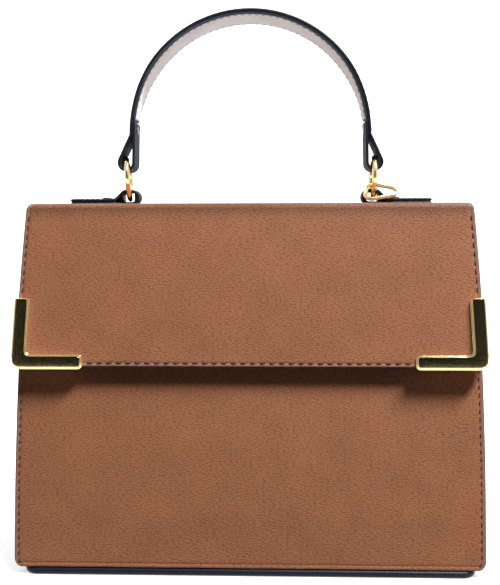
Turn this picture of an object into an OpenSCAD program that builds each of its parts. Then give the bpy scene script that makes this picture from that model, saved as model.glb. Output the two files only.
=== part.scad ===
/* [Body] */
// Widest width of the bag, low on its sides
body_w = 268; // [250:1:290]
// Height of the closed bag, from the ground to the top of the lid
body_h = 211.5; // [190:0.5:230]
// Depth of the bag at the base
base_d = 108; // [100:1:130]
// Depth of the bag at its mouth, over both walls
mouth_d = 70; // [62:1:84]
// How far each side draws in from the widest place up to the lid
side_draw = 7; // [0:0.5:12]
// Height at which the sides start to draw in
hip_z = 30; // [20:1:60]
// Radius of the front and back panels' bottom corners
corner_r = 5; // [4:0.5:14]
// How far the side gussets fold inwards at the mouth
gusset_fold = 12; // [4:0.5:20]

/* [Materials] */
// Thickness of the outer leather
leather_t = 1.6; // [1.2:0.1:2]
// Thickness of the stiffening board
board_t = 1.4; // [1:0.1:2]
// Thickness of the lining cloth
lining_t = 0.8; // [0.6:0.1:1.2]

/* [Base] */
// Height of the black base edge
base_t = 4.4; // [3:0.2:7]
// How far the base edge stands out past the walls
base_lip = 0.6; // [0.2:0.1:1.5]

/* [Flap] */
// Height of the flap's lower edge above the ground
flap_low = 119; // [105:1:140]
// Height of the magnet's centre above the ground
snap_z = 136; // [130:1:150]
// Diameter of the magnets
snap_d = 16; // [12:0.5:18]
// Thickness of the magnet on the front wall
socket_t = 1.9; // [1.4:0.1:2.6]
// Thickness of the magnet plate on the flap
stud_t = 1.2; // [0.8:0.1:1.8]

/* [Corner fittings] */
// Length of each arm along the flap's edge
fit_arm = 39; // [28:0.5:48]
// Width of each arm
fit_w = 8.4; // [7:0.2:11]
// Height of the dome on each arm
fit_dome = 2.4; // [1.6:0.1:2.8]
// Thickness of the plate under the dome
fit_plate = 0.8; // [0.6:0.1:1]
// Thickness of the lip over the flap's edge
fit_lip = 1.3; // [0.8:0.1:1.8]

/* [Handle] */
// Outer radius of the handle's arch
arch_r = 72.5; // [66:0.5:80]
// Height of the handle's top above the bag's top
handle_rise = 114.5; // [108:0.5:126]
// Width of the handle in its middle
strap_w = 27; // [22:0.5:32]
// Width of the handle at its ends
strap_end_w = 18; // [14:0.5:19]
// Thickness of the outer strap
strap_t = 1.8; // [1.4:0.1:2.2]
// Thickness of the pale strap inside the arch
grip_t = 1.5; // [1:0.1:2]
// Outer radius of the loops at the handle's ends
loop_r = 5.3; // [4.8:0.1:6.5]

/* [Rings and tabs] */
// Outer diameter of the rings
ring_d = 28; // [27:0.5:32]
// Thickness of the rings' wire
ring_wire = 3.2; // [2.4:0.1:3.4]
// Distance from the middle of the bag to each ring
ring_x = 74.6; // [72:0.1:84]
// Distance from the middle of the bag to each tab's outer end
tab_out = 109.5; // [104:0.5:118]
// Thickness of one layer of the tabs
tab_t = 1.8; // [1.4:0.1:2.2]
// Width of the tabs
tab_w = 18; // [14:0.5:24]
// Width of the tabs' loops
tab_loop_w = 12; // [9:0.5:13]
// Thickness of the side ring's wire
side_wire = 2.4; // [1.8:0.1:2.6]
// Radius of the side ring's corners
side_corner_r = 3.2; // [3:0.1:4]

/* [Pockets] */
// Width of the slip pocket
slip_w = 150; // [100:5:180]
// Height of the slip pocket
slip_h = 85; // [60:5:110]
// How far the slip pocket stands open
slip_depth = 8; // [6.5:0.5:10]
// Length of the zip's window
zip_l = 150; // [100:5:180]
// Height of the zip's window
zip_h = 11; // [9.5:0.5:16]

/* [Hidden] */
$fn = 48;
brown = "#8e6049";
board_grey = "#b9a27c";
lining_grey = "#a9998a";
gold = "#c9a75a";
gusset_black = "#22222a";
navy_black = "#171d2e";
// One overrun serves all cuts, and one overlap joins the stretches of a single piece
over = 1;
weld = 0.05;

// Walls and creases
stack_t = leather_t + board_t + lining_t;
hinge_gap = 0.5;
fold_gap = 0.3;
seam_gap = 0.05;
hinge_z = body_h - stack_t;
foot_y = base_d / 2 - base_lip;
mouth_y = mouth_d / 2;
wall_slope = (foot_y - mouth_y) / (hinge_z - base_t);
wall_lean = atan(wall_slope);
rear_hinge_y = mouth_y - stack_t;
front_hinge_y = -mouth_y - hinge_gap;
roll_room = 0.7;
wall_top = hinge_z - stack_t - roll_room;
roll_reach = 40;
crease_lap = 5;
half_w = body_w / 2;
outline_steps = 10;
corner_steps = 6;
loop_steps = 16;

// Inner walls
edge_inset = 3.6;
facing_t = 1;
facing_h = 24;
facing_inset = 5;
pocket_bag_t = 0.6;
pocket_bag_margin = 8;
pocket_bag_h = 105;
gusset_t = 1.4;
base_board_t = 2;
base_board_gap = 0.3;
base_plan_r = 8;
zip_face = leather_t + board_t + pocket_bag_t;
panel_foot = base_t + leather_t * sin(wall_lean);
floor_top = base_t + base_board_t + lining_t;
inner_foot = floor_top + (zip_face + lining_t) * sin(wall_lean);

// Magnets and their washers
snap_gap = 0.7;
snap_stem_r = 1.5;
stem_gap = 0.1;
washer_r = 5;
washer_t = 0.6;
washer_gap = 0.2;
snap_stack = socket_t + stud_t + snap_gap;
flap_slope = wall_slope + (snap_stack / cos(wall_lean) - hinge_gap) / (hinge_z - snap_z);
flap_lean = atan(flap_slope);
flap_drop = (hinge_z - flap_low) / cos(flap_lean);
snap_up = (snap_z - base_t) / cos(wall_lean);
snap_drop = (hinge_z - snap_z) / cos(flap_lean);

// Corner fittings
fit_corner_r = 5.5;
fit_stud_r = 1.1;
fit_stud_end = 0.3;
fit_washer_r = 2.6;
fit_stud_share = 0.72;
lip_gap = 0.15;
fit_mid = fit_w / 2 - fit_lip;
fit_x = side_x(flap_low);
fit_tilt = atan((side_x(flap_low) - side_x(flap_low + fit_arm)) / fit_arm);
dome_half = fit_w / 2 + weld;
dome_r = (pow(dome_half, 2) + pow(fit_dome, 2)) / (2 * fit_dome);

// Rings, tabs and handle
fit_clear = 0.3;
wire_r = ring_wire / 2;
ring_mid_r = ring_d / 2 - wire_r;
ring_in_r = ring_d / 2 - ring_wire;
ring_z = body_h + tab_t + fit_clear + ring_d / 2;
tab_hole_h = ring_z - chord(ring_in_r, tab_loop_w / 2) + fit_clear - body_h - tab_t;
tab_loop_h = tab_hole_h + 2 * tab_t;
tab_nose_room = 1;
tab_nose_x = ring_x - wire_r - tab_nose_room;
tab_peak_x = ring_x + wire_r + fit_clear;
tab_slope_share = 0.9;
tab_slope_l = tab_slope_share * tab_hole_h;
tab_end_r = 3;
loop_z = ring_z + chord(ring_in_r, strap_end_w / 2) - fit_clear + loop_r - strap_t;
handle_top = body_h + handle_rise;
arch_z = handle_top - arch_r;
return_angle = 6.6;
grip_gap_angle = 0.4;
grip_margin = 0.5;
split_share = 0.26;
split_z = arch_z - split_share * (arch_z - loop_z);
rivet_angle_share = 0.4;
taper_low_share = 0.12;
taper_high_share = 0.64;
taper_low = arch_z + arch_r * taper_low_share;
taper_high = arch_z + arch_r * taper_high_share;
rivet_r = 1.2;
rivet_head_r = 2.6;
rivet_head_h = 1.1;
rivet_tail_h = 0.5;
rivet_gap = 0.06;
tab_rivet_x = 87.5;
tab_rivet_y = 4.5;
side_ring_turn = 55;
side_ring_lean = 40;
side_wire_r = side_wire / 2;
side_clear = 0.6;
side_up = side_wire_r + wire_r + side_clear;
side_ring_back = 1.5;
side_ring_l = 11;
side_ring_h = 5.5;
side_ring_slope = 14;

// Zip
chain_w = 3.2;
chain_t = 1.3;
tooth_pitch = 2.4;
tooth_l = 1.4;
tape_t = 0.6;
slider_l = 10;
slider_w = 8;
slider_t = 1.2;
slider_gap = 0.3;
slider_end = 2;
pin_r = 0.7;
pin_gap = 0.08;
eye_r = 1.6;
eye_w = 3;
lug_w = 1.2;
pull_l = 20;
pull_w = 6;
pull_t = 1;
zip_up = 150;
slip_up = 62;
lug_base = 0.2;
plate_depth = zip_face + chain_t + slider_gap;
pin_depth = plate_depth + slider_t + eye_r + slider_gap;
slider_x = zip_l / 2 - slider_end - slider_l / 2;

function chord(r, half) = sqrt(pow(r, 2) - pow(half, 2));

// Half the width at a height: the sides bow in along a parabola above the hip
function side_x(z) = half_w - side_draw * pow(max(0, z - hip_z) / (hinge_z - hip_z), 2);

// Distance up the leaning wall that belongs to a height
function wall_up(z) = (z - base_t) / cos(wall_lean);

function arc_points(c, r, a0, a1, n) =
    [for (i = [0 : n]) let (a = a0 + (a1 - a0) * i / n) [c.x + r * cos(a), c.y + r * sin(a)]];

// Right half of the front outline, from the base up, as [x, z], drawn in by an inset
function half_outline(inset, low, top) = let (r = max(corner_r - inset, over)) concat(
    arc_points([half_w - inset - r, low + r], r, -90, 0, corner_steps),
    [for (i = [1 : outline_steps]) let (z = low + r + (top - low - r) * i / outline_steps)
        [side_x(z) - inset, z]]);

// Whole front outline on the wall's own plane
function wall_outline(inset, low, top) = let (half = half_outline(inset, low, top))
    let (right = [for (p = half) [p.x, wall_up(p.y)]])
    concat(right, [for (i = [len(right) - 1 : -1 : 0]) [-right[i].x, right[i].y]]);

// Depth of the gusset's seam on each wall at a height
function seam_y(z, layers) =
    foot_y - (z - base_t) * wall_slope - layers / cos(wall_lean) - seam_gap;

// How far the gusset's middle is folded in at a height
function fold_in(z) = gusset_fold * pow(max(0, z - hip_z) / (wall_top - hip_z), 1.5);

// Angle at which a line from p touches a circle on its outer side
function touch_angle(p, c, r) = atan2(p.y - c.y, p.x - c.x) - acos(r / norm(p - c));

module both_sides() {
    children();
    mirror([1, 0, 0]) children();
}

// Local plane of the front wall: x across, y up the wall, z outwards
module front_wall() {
    translate([0, -foot_y, base_t]) rotate([90 - wall_lean, 0, 0]) children();
}

module back_wall() {
    mirror([0, 1, 0]) front_wall() children();
}

// Local plane of the hanging flap: y is nought at the front crease
module flap_plane() {
    translate([0, front_hinge_y, hinge_z]) rotate([90 - flap_lean, 0, 0]) children();
}

// A flat layer between two depths under a face
module layer(depth, thick) {
    translate([0, 0, -depth - thick]) linear_extrude(thick) children();
}

// A rod along the bag's width
module rod(r, w) {
    rotate([0, 90, 0]) cylinder(r = r, h = w, center = true);
}

// Seat that a rolled crease turns in
module crease_seat(y) {
    translate([0, y, hinge_z]) rod(stack_t + fold_gap, body_w + 2 * over);
}

// Rolled leather round a crease, between two angles from straight back over the top.
// It is a hair thinner than the flat sheet that it laps into.
module roll(y, from, to) {
    half = side_x(hinge_z) - weld;
    translate([0, y, hinge_z]) rotate([90, 0, 90]) rotate(from) rotate_extrude(angle = to - from)
        translate([stack_t - leather_t + weld, -half]) square([leather_t - 2 * weld, 2 * half]);
}

// Hole for a magnet's stem, on a wall's plane
module stem_hole(up) {
    translate([0, up]) circle(snap_stem_r + stem_gap);
}

module front_panel() {
    color(brown) front_wall() layer(0, leather_t) difference() {
        polygon(wall_outline(0, panel_foot, wall_top));
        stem_hole(snap_up);
    }
}

module front_board() {
    color(board_grey) front_wall() difference() {
        layer(leather_t, board_t) difference() {
            polygon(wall_outline(edge_inset, inner_foot, wall_top));
            stem_hole(snap_up);
        }
        translate([0, snap_up, -leather_t - board_t - over])
            cylinder(r = washer_r + washer_gap, h = washer_t + over);
    }
}

module front_lining() {
    color(lining_grey) front_wall() layer(leather_t + board_t, lining_t)
        polygon(wall_outline(edge_inset, inner_foot, wall_top));
}

module back_panel() {
    color(brown) difference() {
        back_wall() layer(0, leather_t) polygon(wall_outline(0, panel_foot, hinge_z));
        crease_seat(rear_hinge_y);
    }
}

module back_board() {
    color(board_grey) difference() {
        back_wall() layer(leather_t, board_t)
            polygon(wall_outline(edge_inset, inner_foot, hinge_z - over));
        crease_seat(rear_hinge_y);
    }
}

module back_lining() {
    color(lining_grey) back_wall() layer(zip_face, lining_t) difference() {
        polygon(wall_outline(edge_inset, inner_foot, wall_top));
        translate([-zip_l / 2, zip_up - zip_h / 2]) square([zip_l, zip_h]);
    }
}

// A folded gusset between two depths under its outside, from seam to seam
module gusset_sheet(depth, thick, layers) {
    path = half_outline(0, base_t, wall_top);
    count = len(path);
    last = count - 1;
    normals = [for (i = [0 : last])
        let (t = path[min(i + 1, last)] - path[max(i - 1, 0)]) [-t.y, t.x] / norm(t)];
    function spot(i, inner, side) = let (p = path[i] + normals[i] * (depth + (inner ? thick : 0)))
        let (y = abs(side) * seam_y(p.y, layers))
        [p.x - fold_in(path[i].y) * (1 - y / seam_y(p.y, leather_t)), side * y, p.y];
    points = [for (i = [0 : last]) each [spot(i, false, -1), spot(i, false, 0), spot(i, false, 1),
        spot(i, true, 1), spot(i, true, 0), spot(i, true, -1)]];
    skin = [for (i = [0 : last - 1]) for (j = [0 : 5]) let (a = 6 * i + j, b = 6 * i + (j + 1) % 6)
        each j % 3 == 0 ? [[a, a + 6, b + 6], [a, b + 6, b]] : [[a, a + 6, b], [b, a + 6, b + 6]]];
    ends = [[0, 1, 5], [1, 4, 5], [1, 2, 4], [2, 3, 4]];
    top = [for (f = ends) [f[2] + 6 * last, f[1] + 6 * last, f[0] + 6 * last]];
    polyhedron(points = points, faces = concat(skin, ends, top));
}

module gusset_right() {
    color(gusset_black) gusset_sheet(0, gusset_t, leather_t);
}

module gusset_left() {
    mirror([1, 0, 0]) gusset_right();
}

module gusset_lining_right() {
    color(lining_grey) gusset_sheet(gusset_t + fold_gap, lining_t, stack_t + facing_t + pocket_bag_t);
}

module gusset_lining_left() {
    mirror([1, 0, 0]) gusset_lining_right();
}

// Rounded rectangle with true round corners
module round_rect(w, d, r) {
    square([w - 2 * r, d], center = true);
    square([w, d - 2 * r], center = true);
    for (x = [-1, 1]) for (y = [-1, 1]) translate([x * (w / 2 - r), y * (d / 2 - r)]) circle(r);
}

// The base edge is a tray with a half-round rim
module base_panel() {
    rim = base_t / 2;
    base_l = body_w - 2 * corner_r;
    color(gusset_black) {
        linear_extrude(base_t)
            round_rect(base_l - base_t, base_d - base_t, base_plan_r - rim);
        for (y = [-1, 1]) translate([0, y * (base_d / 2 - rim), rim])
            rod(rim, base_l - 2 * base_plan_r);
        for (x = [-1, 1]) translate([x * (base_l / 2 - rim), 0, rim]) rotate([90, 0, 0])
            cylinder(r = rim, h = base_d - 2 * base_plan_r, center = true);
        for (x = [0, 1]) for (y = [0, 1]) mirror([x, 0, 0]) mirror([0, y, 0])
            translate([base_l / 2 - base_plan_r, base_d / 2 - base_plan_r, rim])
            rotate_extrude(angle = 90) translate([base_plan_r - rim, 0]) difference() {
                circle(rim);
                translate([-2 * rim, -rim - over]) square([2 * rim, base_t + 2 * over]);
            }
    }
}

// A plate across the floor, between the walls' outer leather
module floor_plate(z, thick) {
    half = seam_y(z + thick, leather_t);
    long = half_w - corner_r - base_board_gap;
    translate([-long, -half, z]) cube([2 * long, 2 * half, thick]);
}

module base_board() {
    color(board_grey) floor_plate(base_t, base_board_t);
}

module base_lining() {
    color(lining_grey) floor_plate(base_t + base_board_t, lining_t);
}

// Leather facing along the inside of the mouth
module facing(depth) {
    layer(depth, facing_t) polygon([for (side = [1, -1]) for (k = side > 0 ? [0, 1] : [1, 0])
        let (z = wall_top - facing_h * (1 - k)) [side * (side_x(z) - facing_inset), wall_up(z)]]);
}

module facing_front() {
    color(gusset_black) front_wall() facing(stack_t);
}

module facing_back() {
    color(gusset_black) back_wall() facing(stack_t + pocket_bag_t);
}

module snap_socket() {
    color(gold) front_wall() translate([0, snap_up, 0]) {
        cylinder(d = snap_d, h = socket_t);
        translate([0, 0, -leather_t - board_t + washer_t])
            cylinder(r = snap_stem_r, h = leather_t + board_t - washer_t + over / 2);
    }
}

module socket_washer() {
    color(gold) front_wall() translate([0, snap_up, -leather_t - board_t])
        cylinder(r = washer_r, h = washer_t);
}

// Open-topped patch pocket on the front lining
module slip_pocket() {
    deep = stack_t + slip_depth + lining_t;
    color(lining_grey) front_wall() difference() {
        translate([-slip_w / 2, slip_up, -deep]) cube([slip_w, slip_h, deep - stack_t]);
        translate([-slip_w / 2 + lining_t, slip_up + lining_t, -deep + lining_t])
            cube([slip_w - 2 * lining_t, slip_h, slip_depth]);
    }
}

module zip_pocket_bag() {
    color(lining_grey) back_wall() layer(leather_t + board_t, pocket_bag_t)
        translate([-zip_l / 2 - pocket_bag_margin, zip_up + zip_h - pocket_bag_h])
        square([zip_l + 2 * pocket_bag_margin, pocket_bag_h]);
}

// One side of the zip's tape, from the chain to the edge of the window
module zip_tape(low, high) {
    color("#3b3434") back_wall() layer(zip_face, tape_t)
        translate([-zip_l / 2, zip_up + low]) square([zip_l, high - low]);
}

module zip_tape_upper() {
    zip_tape(chain_w / 2, zip_h / 2);
}

module zip_tape_lower() {
    zip_tape(-zip_h / 2, -chain_w / 2);
}

// Closed chain: a core with the teeth of both sides standing on it
module zip_chain() {
    teeth = floor((zip_l - tooth_l) / tooth_pitch);
    color(gold) back_wall() {
        layer(zip_face, tape_t)
            translate([-zip_l / 2, zip_up - chain_w / 2]) square([zip_l, chain_w]);
        layer(zip_face + tape_t, chain_t - tape_t)
            for (i = [0 : teeth]) translate([-zip_l / 2 + i * tooth_pitch, zip_up - chain_w / 2])
                square([tooth_l, chain_w]);
    }
}

// The slider's plate straddles the chain, and its two lugs hold the pull's pin
module zip_slider() {
    color(gold) back_wall() translate([slider_x, zip_up, 0]) {
        layer(plate_depth, slider_t) square([slider_l, slider_w], center = true);
        for (s = [-1, 1]) layer(zip_face + tape_t + slider_gap, plate_depth - zip_face - tape_t)
            translate([0, s * (slider_w / 2 - lug_w / 2)]) square([slider_l, lug_w], center = true);
        for (s = [-1, 1])
            translate([0, s * (eye_w / 2 + slider_gap + lug_w / 2), -pin_depth]) {
                translate([-eye_r, -lug_w / 2, 0])
                    cube([2 * eye_r, lug_w, eye_r + slider_gap + lug_base]);
                rotate([90, 0, 0]) cylinder(r = eye_r, h = lug_w, center = true);
            }
        translate([0, 0, -pin_depth]) rotate([90, 0, 0])
            cylinder(r = pin_r, h = eye_w + 2 * slider_gap + lug_w, center = true);
    }
}

module zip_pull() {
    color(gold) back_wall() translate([slider_x, zip_up, -pin_depth]) difference() {
        union() {
            rotate([90, 0, 0]) cylinder(r = eye_r, h = eye_w, center = true);
            translate([-pull_l, -eye_w / 2, -pull_t / 2]) cube([pull_l, eye_w, pull_t]);
            translate([-pull_l - pull_w / 2, -pull_w / 2, -pull_t / 2])
                cube([pull_l - 2 * eye_r, pull_w, pull_t]);
        }
        rotate([90, 0, 0]) cylinder(r = pin_r + pin_gap, h = eye_w + 2 * over, center = true);
    }
}

// Rectangle of the lid between its two creases
module lid_sheet(low, thick) {
    half = side_x(hinge_z);
    translate([-half, front_hinge_y, hinge_z + low])
        cube([2 * half, rear_hinge_y - front_hinge_y, thick]);
}

module tab_rivet_places() {
    both_sides() for (y = [-1, 1]) translate([tab_rivet_x, y * tab_rivet_y, 0]) children();
}

module rivet_holes() {
    tab_rivet_places() cylinder(r = rivet_r + rivet_gap, h = body_h + tab_loop_h);
}

module lid_panel() {
    color(brown) difference() {
        union() {
            lid_sheet(stack_t - leather_t, leather_t);
            roll(rear_hinge_y, -roll_reach, 90 + crease_lap);
        }
        crease_seat(front_hinge_y);
        rivet_holes();
    }
}

module lid_board() {
    color(board_grey) difference() {
        lid_sheet(lining_t, board_t);
        crease_seat(front_hinge_y);
        rivet_holes();
        tab_rivet_places() translate([0, 0, hinge_z])
            cylinder(r = rivet_head_r + washer_gap, h = lining_t + rivet_tail_h + rivet_gap);
    }
}

module lid_lining() {
    color(lining_grey) difference() {
        lid_sheet(0, lining_t);
        crease_seat(front_hinge_y);
    }
}

// Rivets hold the tabs' two layers to the lid's leather and board
module tab_rivets() {
    low = hinge_z + lining_t;
    top = body_h + 2 * tab_t;
    color("#2a2a30") tab_rivet_places() {
        translate([0, 0, low]) cylinder(r = rivet_head_r, h = rivet_tail_h);
        translate([0, 0, low]) cylinder(r = rivet_r, h = top - low + rivet_head_h / 2);
        translate([0, 0, top]) cylinder(r = rivet_head_r, h = rivet_head_h);
    }
}

// Side view of a tab: a strap folded round the ring, lying on the lid
module tab_profile() {
    nose = [tab_nose_x, tab_loop_h / 2];
    foot = tab_peak_x + tab_slope_l;
    difference() {
        union() {
            polygon([[tab_out, 0], [tab_out, 2 * tab_t], [foot + tab_t / 2, 2 * tab_t],
                [tab_peak_x + tab_t / 2, tab_loop_h], [tab_nose_x, tab_loop_h], [tab_nose_x, 0]]);
            translate(nose) circle(tab_loop_h / 2);
        }
        polygon([[foot, tab_t], [tab_peak_x, tab_loop_h - tab_t], [tab_nose_x, tab_loop_h - tab_t],
            [tab_nose_x, tab_t]]);
        translate(nose) circle(tab_loop_h / 2 - tab_t);
    }
}

// Plan of a tab: full width where it is fastened, narrower at its loop
module tab_plan() {
    foot = tab_peak_x + tab_slope_l;
    nose = tab_nose_x - tab_loop_h / 2 - over;
    polygon([[nose, -tab_loop_w / 2], [foot - tab_t, -tab_loop_w / 2], [foot, -tab_w / 2],
        [tab_out - tab_end_r, -tab_w / 2], [tab_out - tab_end_r, tab_w / 2], [foot, tab_w / 2],
        [foot - tab_t, tab_loop_w / 2], [nose, tab_loop_w / 2]]);
    for (y = [-1, 1]) translate([tab_out - tab_end_r, y * (tab_w / 2 - tab_end_r)]) circle(tab_end_r);
    translate([tab_out - tab_end_r, -tab_w / 2 + tab_end_r]) square([tab_end_r, tab_w - 2 * tab_end_r]);
}

module tab_right() {
    color("#1d1f21") difference() {
        translate([0, 0, body_h]) intersection() {
            rotate([90, 0, 0]) linear_extrude(tab_w, center = true) tab_profile();
            translate([0, 0, -over]) linear_extrude(tab_loop_h + 2 * over) tab_plan();
        }
        rivet_holes();
    }
}

module tab_left() {
    mirror([1, 0, 0]) tab_right();
}

// Outline of the hanging flap on its own plane, drawn in by an inset
module flap_outline(inset) {
    low = flap_low + inset;
    right = [for (i = [0 : outline_steps]) let (z = low + (hinge_z - low) * i / outline_steps)
        [side_x(z) - inset, (z - hinge_z) / cos(flap_lean)]];
    polygon(concat(right, [for (i = [outline_steps : -1 : 0]) [-right[i].x, right[i].y]]));
}

// Frame of the right fitting: its origin is the flap's lower corner
module fitting_frame() {
    translate([fit_x, -flap_drop]) children();
}

// Places of the right fitting's studs, one under each arm
module stud_places() {
    fitting_frame() {
        translate([-fit_stud_share * fit_arm, fit_mid]) children();
        rotate(fit_tilt) translate([-fit_mid, fit_stud_share * fit_arm]) children();
    }
}

module stud_holes() {
    both_sides() stud_places() circle(fit_stud_r + stem_gap);
}

module snap_hole() {
    translate([0, -snap_drop]) circle(snap_stem_r + stem_gap);
}

module flap_panel() {
    color(brown) {
        flap_plane() translate([0, 0, stack_t - leather_t]) linear_extrude(leather_t) difference() {
            flap_outline(0);
            stud_holes();
        }
        roll(front_hinge_y, 90 - roll_reach, 180 - flap_lean + crease_lap);
    }
}

module flap_board() {
    color(board_grey) flap_plane() difference() {
        translate([0, 0, lining_t]) linear_extrude(board_t) difference() {
            flap_outline(lining_t);
            stud_holes();
            snap_hole();
        }
        translate([0, -snap_drop, lining_t + board_t - washer_t])
            cylinder(r = washer_r + washer_gap, h = washer_t + over);
    }
}

module flap_lining() {
    color(lining_grey) flap_plane() linear_extrude(lining_t) difference() {
        flap_outline(0);
        stud_holes();
        snap_hole();
    }
}

module snap_stud() {
    color(gold) flap_plane() translate([0, -snap_drop, 0]) {
        translate([0, 0, -stud_t]) cylinder(d = snap_d, h = stud_t);
        cylinder(r = snap_stem_r, h = lining_t + board_t - washer_t);
    }
}

module stud_washer() {
    color(gold) flap_plane() translate([0, -snap_drop, lining_t + board_t - washer_t])
        cylinder(r = washer_r, h = washer_t);
}

// Two arms of equal width that meet at the flap's corner, rounded on the outside
module fitting_outline() {
    low = -fit_lip;
    mid = [-fit_mid * (1 + sin(fit_tilt)) / cos(fit_tilt), fit_mid];
    bend = 135 + fit_tilt / 2;
    inner = mid + fit_w / 2 / sin(45 - fit_tilt / 2) * [cos(bend), sin(bend)];
    side = fit_lip - fit_corner_r;
    round_c = [(side - (low + fit_corner_r) * sin(fit_tilt)) / cos(fit_tilt), low + fit_corner_r];
    function along(x, y) = [x * cos(fit_tilt) - y * sin(fit_tilt), x * sin(fit_tilt) + y * cos(fit_tilt)];
    polygon(concat(
        [[-fit_arm, low + fit_w], [-fit_arm, low]],
        arc_points(round_c, fit_corner_r, -90, fit_tilt, corner_steps),
        [along(fit_lip, fit_arm), along(fit_lip - fit_w, fit_arm), inner]));
}

// Bar along x whose back stands out of the fitting's plate
module dome_bar(from, to) {
    translate([from, 0, fit_dome - dome_r]) rotate([0, 90, 0]) cylinder(r = dome_r, h = to - from);
}

// Space on one side of the mitre between the two arms, short of the fine line between them
module mitre_side(turn) {
    mid_x = -fit_mid * (1 + sin(fit_tilt)) / cos(fit_tilt);
    translate([mid_x, fit_mid]) rotate(135 + fit_tilt / 2 + turn)
        translate([-2 * fit_arm, weld, -over]) cube([4 * fit_arm, 2 * fit_arm, fit_dome + 2 * over]);
}

module corner_fitting_right() {
    color(gold) flap_plane() {
        fitting_frame() difference() {
            intersection() {
                linear_extrude(stack_t + fit_plate + fit_dome + over) fitting_outline();
                translate([0, 0, stack_t + fit_plate]) union() {
                    translate([-2 * fit_arm, -fit_arm, -body_h]) cube([4 * fit_arm, 3 * fit_arm, body_h]);
                    intersection() {
                        translate([0, fit_mid, 0]) dome_bar(-fit_arm - over, fit_w);
                        mitre_side(0);
                    }
                    intersection() {
                        rotate(fit_tilt) translate([-fit_mid, 0, 0]) rotate(90)
                            dome_bar(-fit_w, fit_arm + over);
                        mitre_side(180);
                    }
                }
            }
            translate([0, 0, -over]) linear_extrude(stack_t + over) intersection() {
                translate([-body_w / 2, -lip_gap]) square([body_w, body_h]);
                rotate(fit_tilt) translate([lip_gap - body_w, -body_h]) square([body_w, 2 * body_h]);
            }
        }
        stud_places() translate([0, 0, -fit_stud_end])
            cylinder(r = fit_stud_r, h = stack_t + fit_stud_end + weld);
    }
}

module corner_fitting_left() {
    mirror([1, 0, 0]) corner_fitting_right();
}

// Push-on washers on the studs, inside the flap
module fitting_washers() {
    color(gold) flap_plane() both_sides() stud_places() translate([0, 0, -washer_t]) difference() {
        cylinder(r = fit_washer_r, h = washer_t);
        translate([0, 0, -over]) cylinder(r = fit_stud_r + rivet_gap, h = washer_t + 2 * over);
    }
}

// Part of a ring in the handle's plane above a line at an angle on both sides
module arch_band(r, thick, angle) {
    rise = r * sin(angle);
    translate([0, arch_z]) intersection() {
        difference() {
            circle(r);
            circle(r - thick);
        }
        translate([-r - over, rise]) square([2 * (r + over), r + over]);
    }
}

// Side of the strap's loop round a ring, with the layer that folds back up.
// A tongue inside the strap joins the loop to the arch.
module loop_profile() {
    ring = [ring_x, loop_z];
    start = [arch_r, arch_z];
    split = [arch_r - strap_t, split_z];
    hole_r = loop_r - strap_t;
    tongue = strap_t / 4;
    tongue_in = arch_r - strap_t - tongue;
    tongue_out = arch_r - tongue;
    tongue_top = arch_z + strap_t;
    difference() {
        polygon(concat([start],
            arc_points(ring, loop_r, touch_angle(start, ring, loop_r), -180, loop_steps),
            [[arch_r - 2 * strap_t, arch_z], [tongue_in, arch_z], [tongue_in, tongue_top],
            [tongue_out, tongue_top], [tongue_out, arch_z]]));
        polygon(concat([split],
            arc_points(ring, hole_r, touch_angle(split, ring, hole_r), -180, loop_steps)));
    }
    intersection() {
        arch_band(arch_r - strap_t + weld, strap_t + weld, 0);
        translate([0, arch_z]) square([arch_r, arch_r * sin(return_angle)]);
    }
}

// Narrows a piece of the handle towards its ends
module handle_width(margin) {
    low = loop_z - 2 * loop_r;
    end = strap_end_w / 2 - margin;
    mid = strap_w / 2 - margin;
    right = [[end, low], [end, taper_low], [mid, taper_high], [mid, handle_top + over]];
    intersection() {
        rotate([90, 0, 0]) linear_extrude(strap_w, center = true) children();
        rotate([90, 0, 90]) linear_extrude(2 * (ring_x + 2 * loop_r), center = true)
            polygon(concat(right, [for (i = [3 : -1 : 0]) [-right[i].x, right[i].y]]));
    }
}

module handle_rivet_places() {
    both_sides() translate([0, 0, arch_z]) rotate([0, 90 - rivet_angle_share * return_angle, 0])
        translate([0, 0, arch_r - 2 * strap_t]) children();
}

module handle_strap() {
    color(navy_black) difference() {
        union() {
            handle_width(0) arch_band(arch_r, strap_t, 0);
            both_sides() handle_width(0) loop_profile();
        }
        handle_rivet_places() translate([0, 0, -over])
            cylinder(r = rivet_r + rivet_gap, h = 2 * strap_t + 2 * over);
    }
}

module handle_grip() {
    color("#c9c9ca") handle_width(grip_margin)
        arch_band(arch_r - strap_t, grip_t, return_angle + grip_gap_angle);
}

module handle_rivets() {
    reach = 2 * strap_t + 2 * rivet_gap;
    color("#2a2a30") handle_rivet_places() {
        translate([0, 0, -rivet_gap]) cylinder(r = rivet_r, h = reach);
        translate([0, 0, -rivet_gap - rivet_tail_h]) cylinder(r = rivet_head_r, h = rivet_tail_h);
        translate([0, 0, reach - rivet_gap]) cylinder(r = rivet_head_r, h = rivet_head_h);
    }
}

module ring_right() {
    color(gold) translate([ring_x, 0, ring_z]) rotate([0, 90, 0])
        rotate_extrude() translate([ring_mid_r, 0]) circle(wire_r);
}

module ring_left() {
    mirror([1, 0, 0]) ring_right();
}

// Closed wire round a list of corners that run anticlockwise, each corner an arc
module wire_loop(corners, r, wire) {
    count = len(corners);
    for (i = [0 : count - 1]) {
        here = corners[i];
        next = corners[(i + 1) % count];
        far = corners[(i + 2) % count];
        turn = atan2(next.y - here.y, next.x - here.x);
        bend = atan2(far.y - next.y, far.x - next.x) - turn;
        translate(here) rotate(turn) translate([-weld, -r, 0]) rotate([0, 90, 0])
            cylinder(r = wire - weld, h = norm(next - here) + 2 * weld);
        translate(next) rotate(turn - 90) rotate_extrude(angle = bend < 0 ? bend + 360 : bend)
            translate([r, 0]) circle(wire);
    }
}

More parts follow.
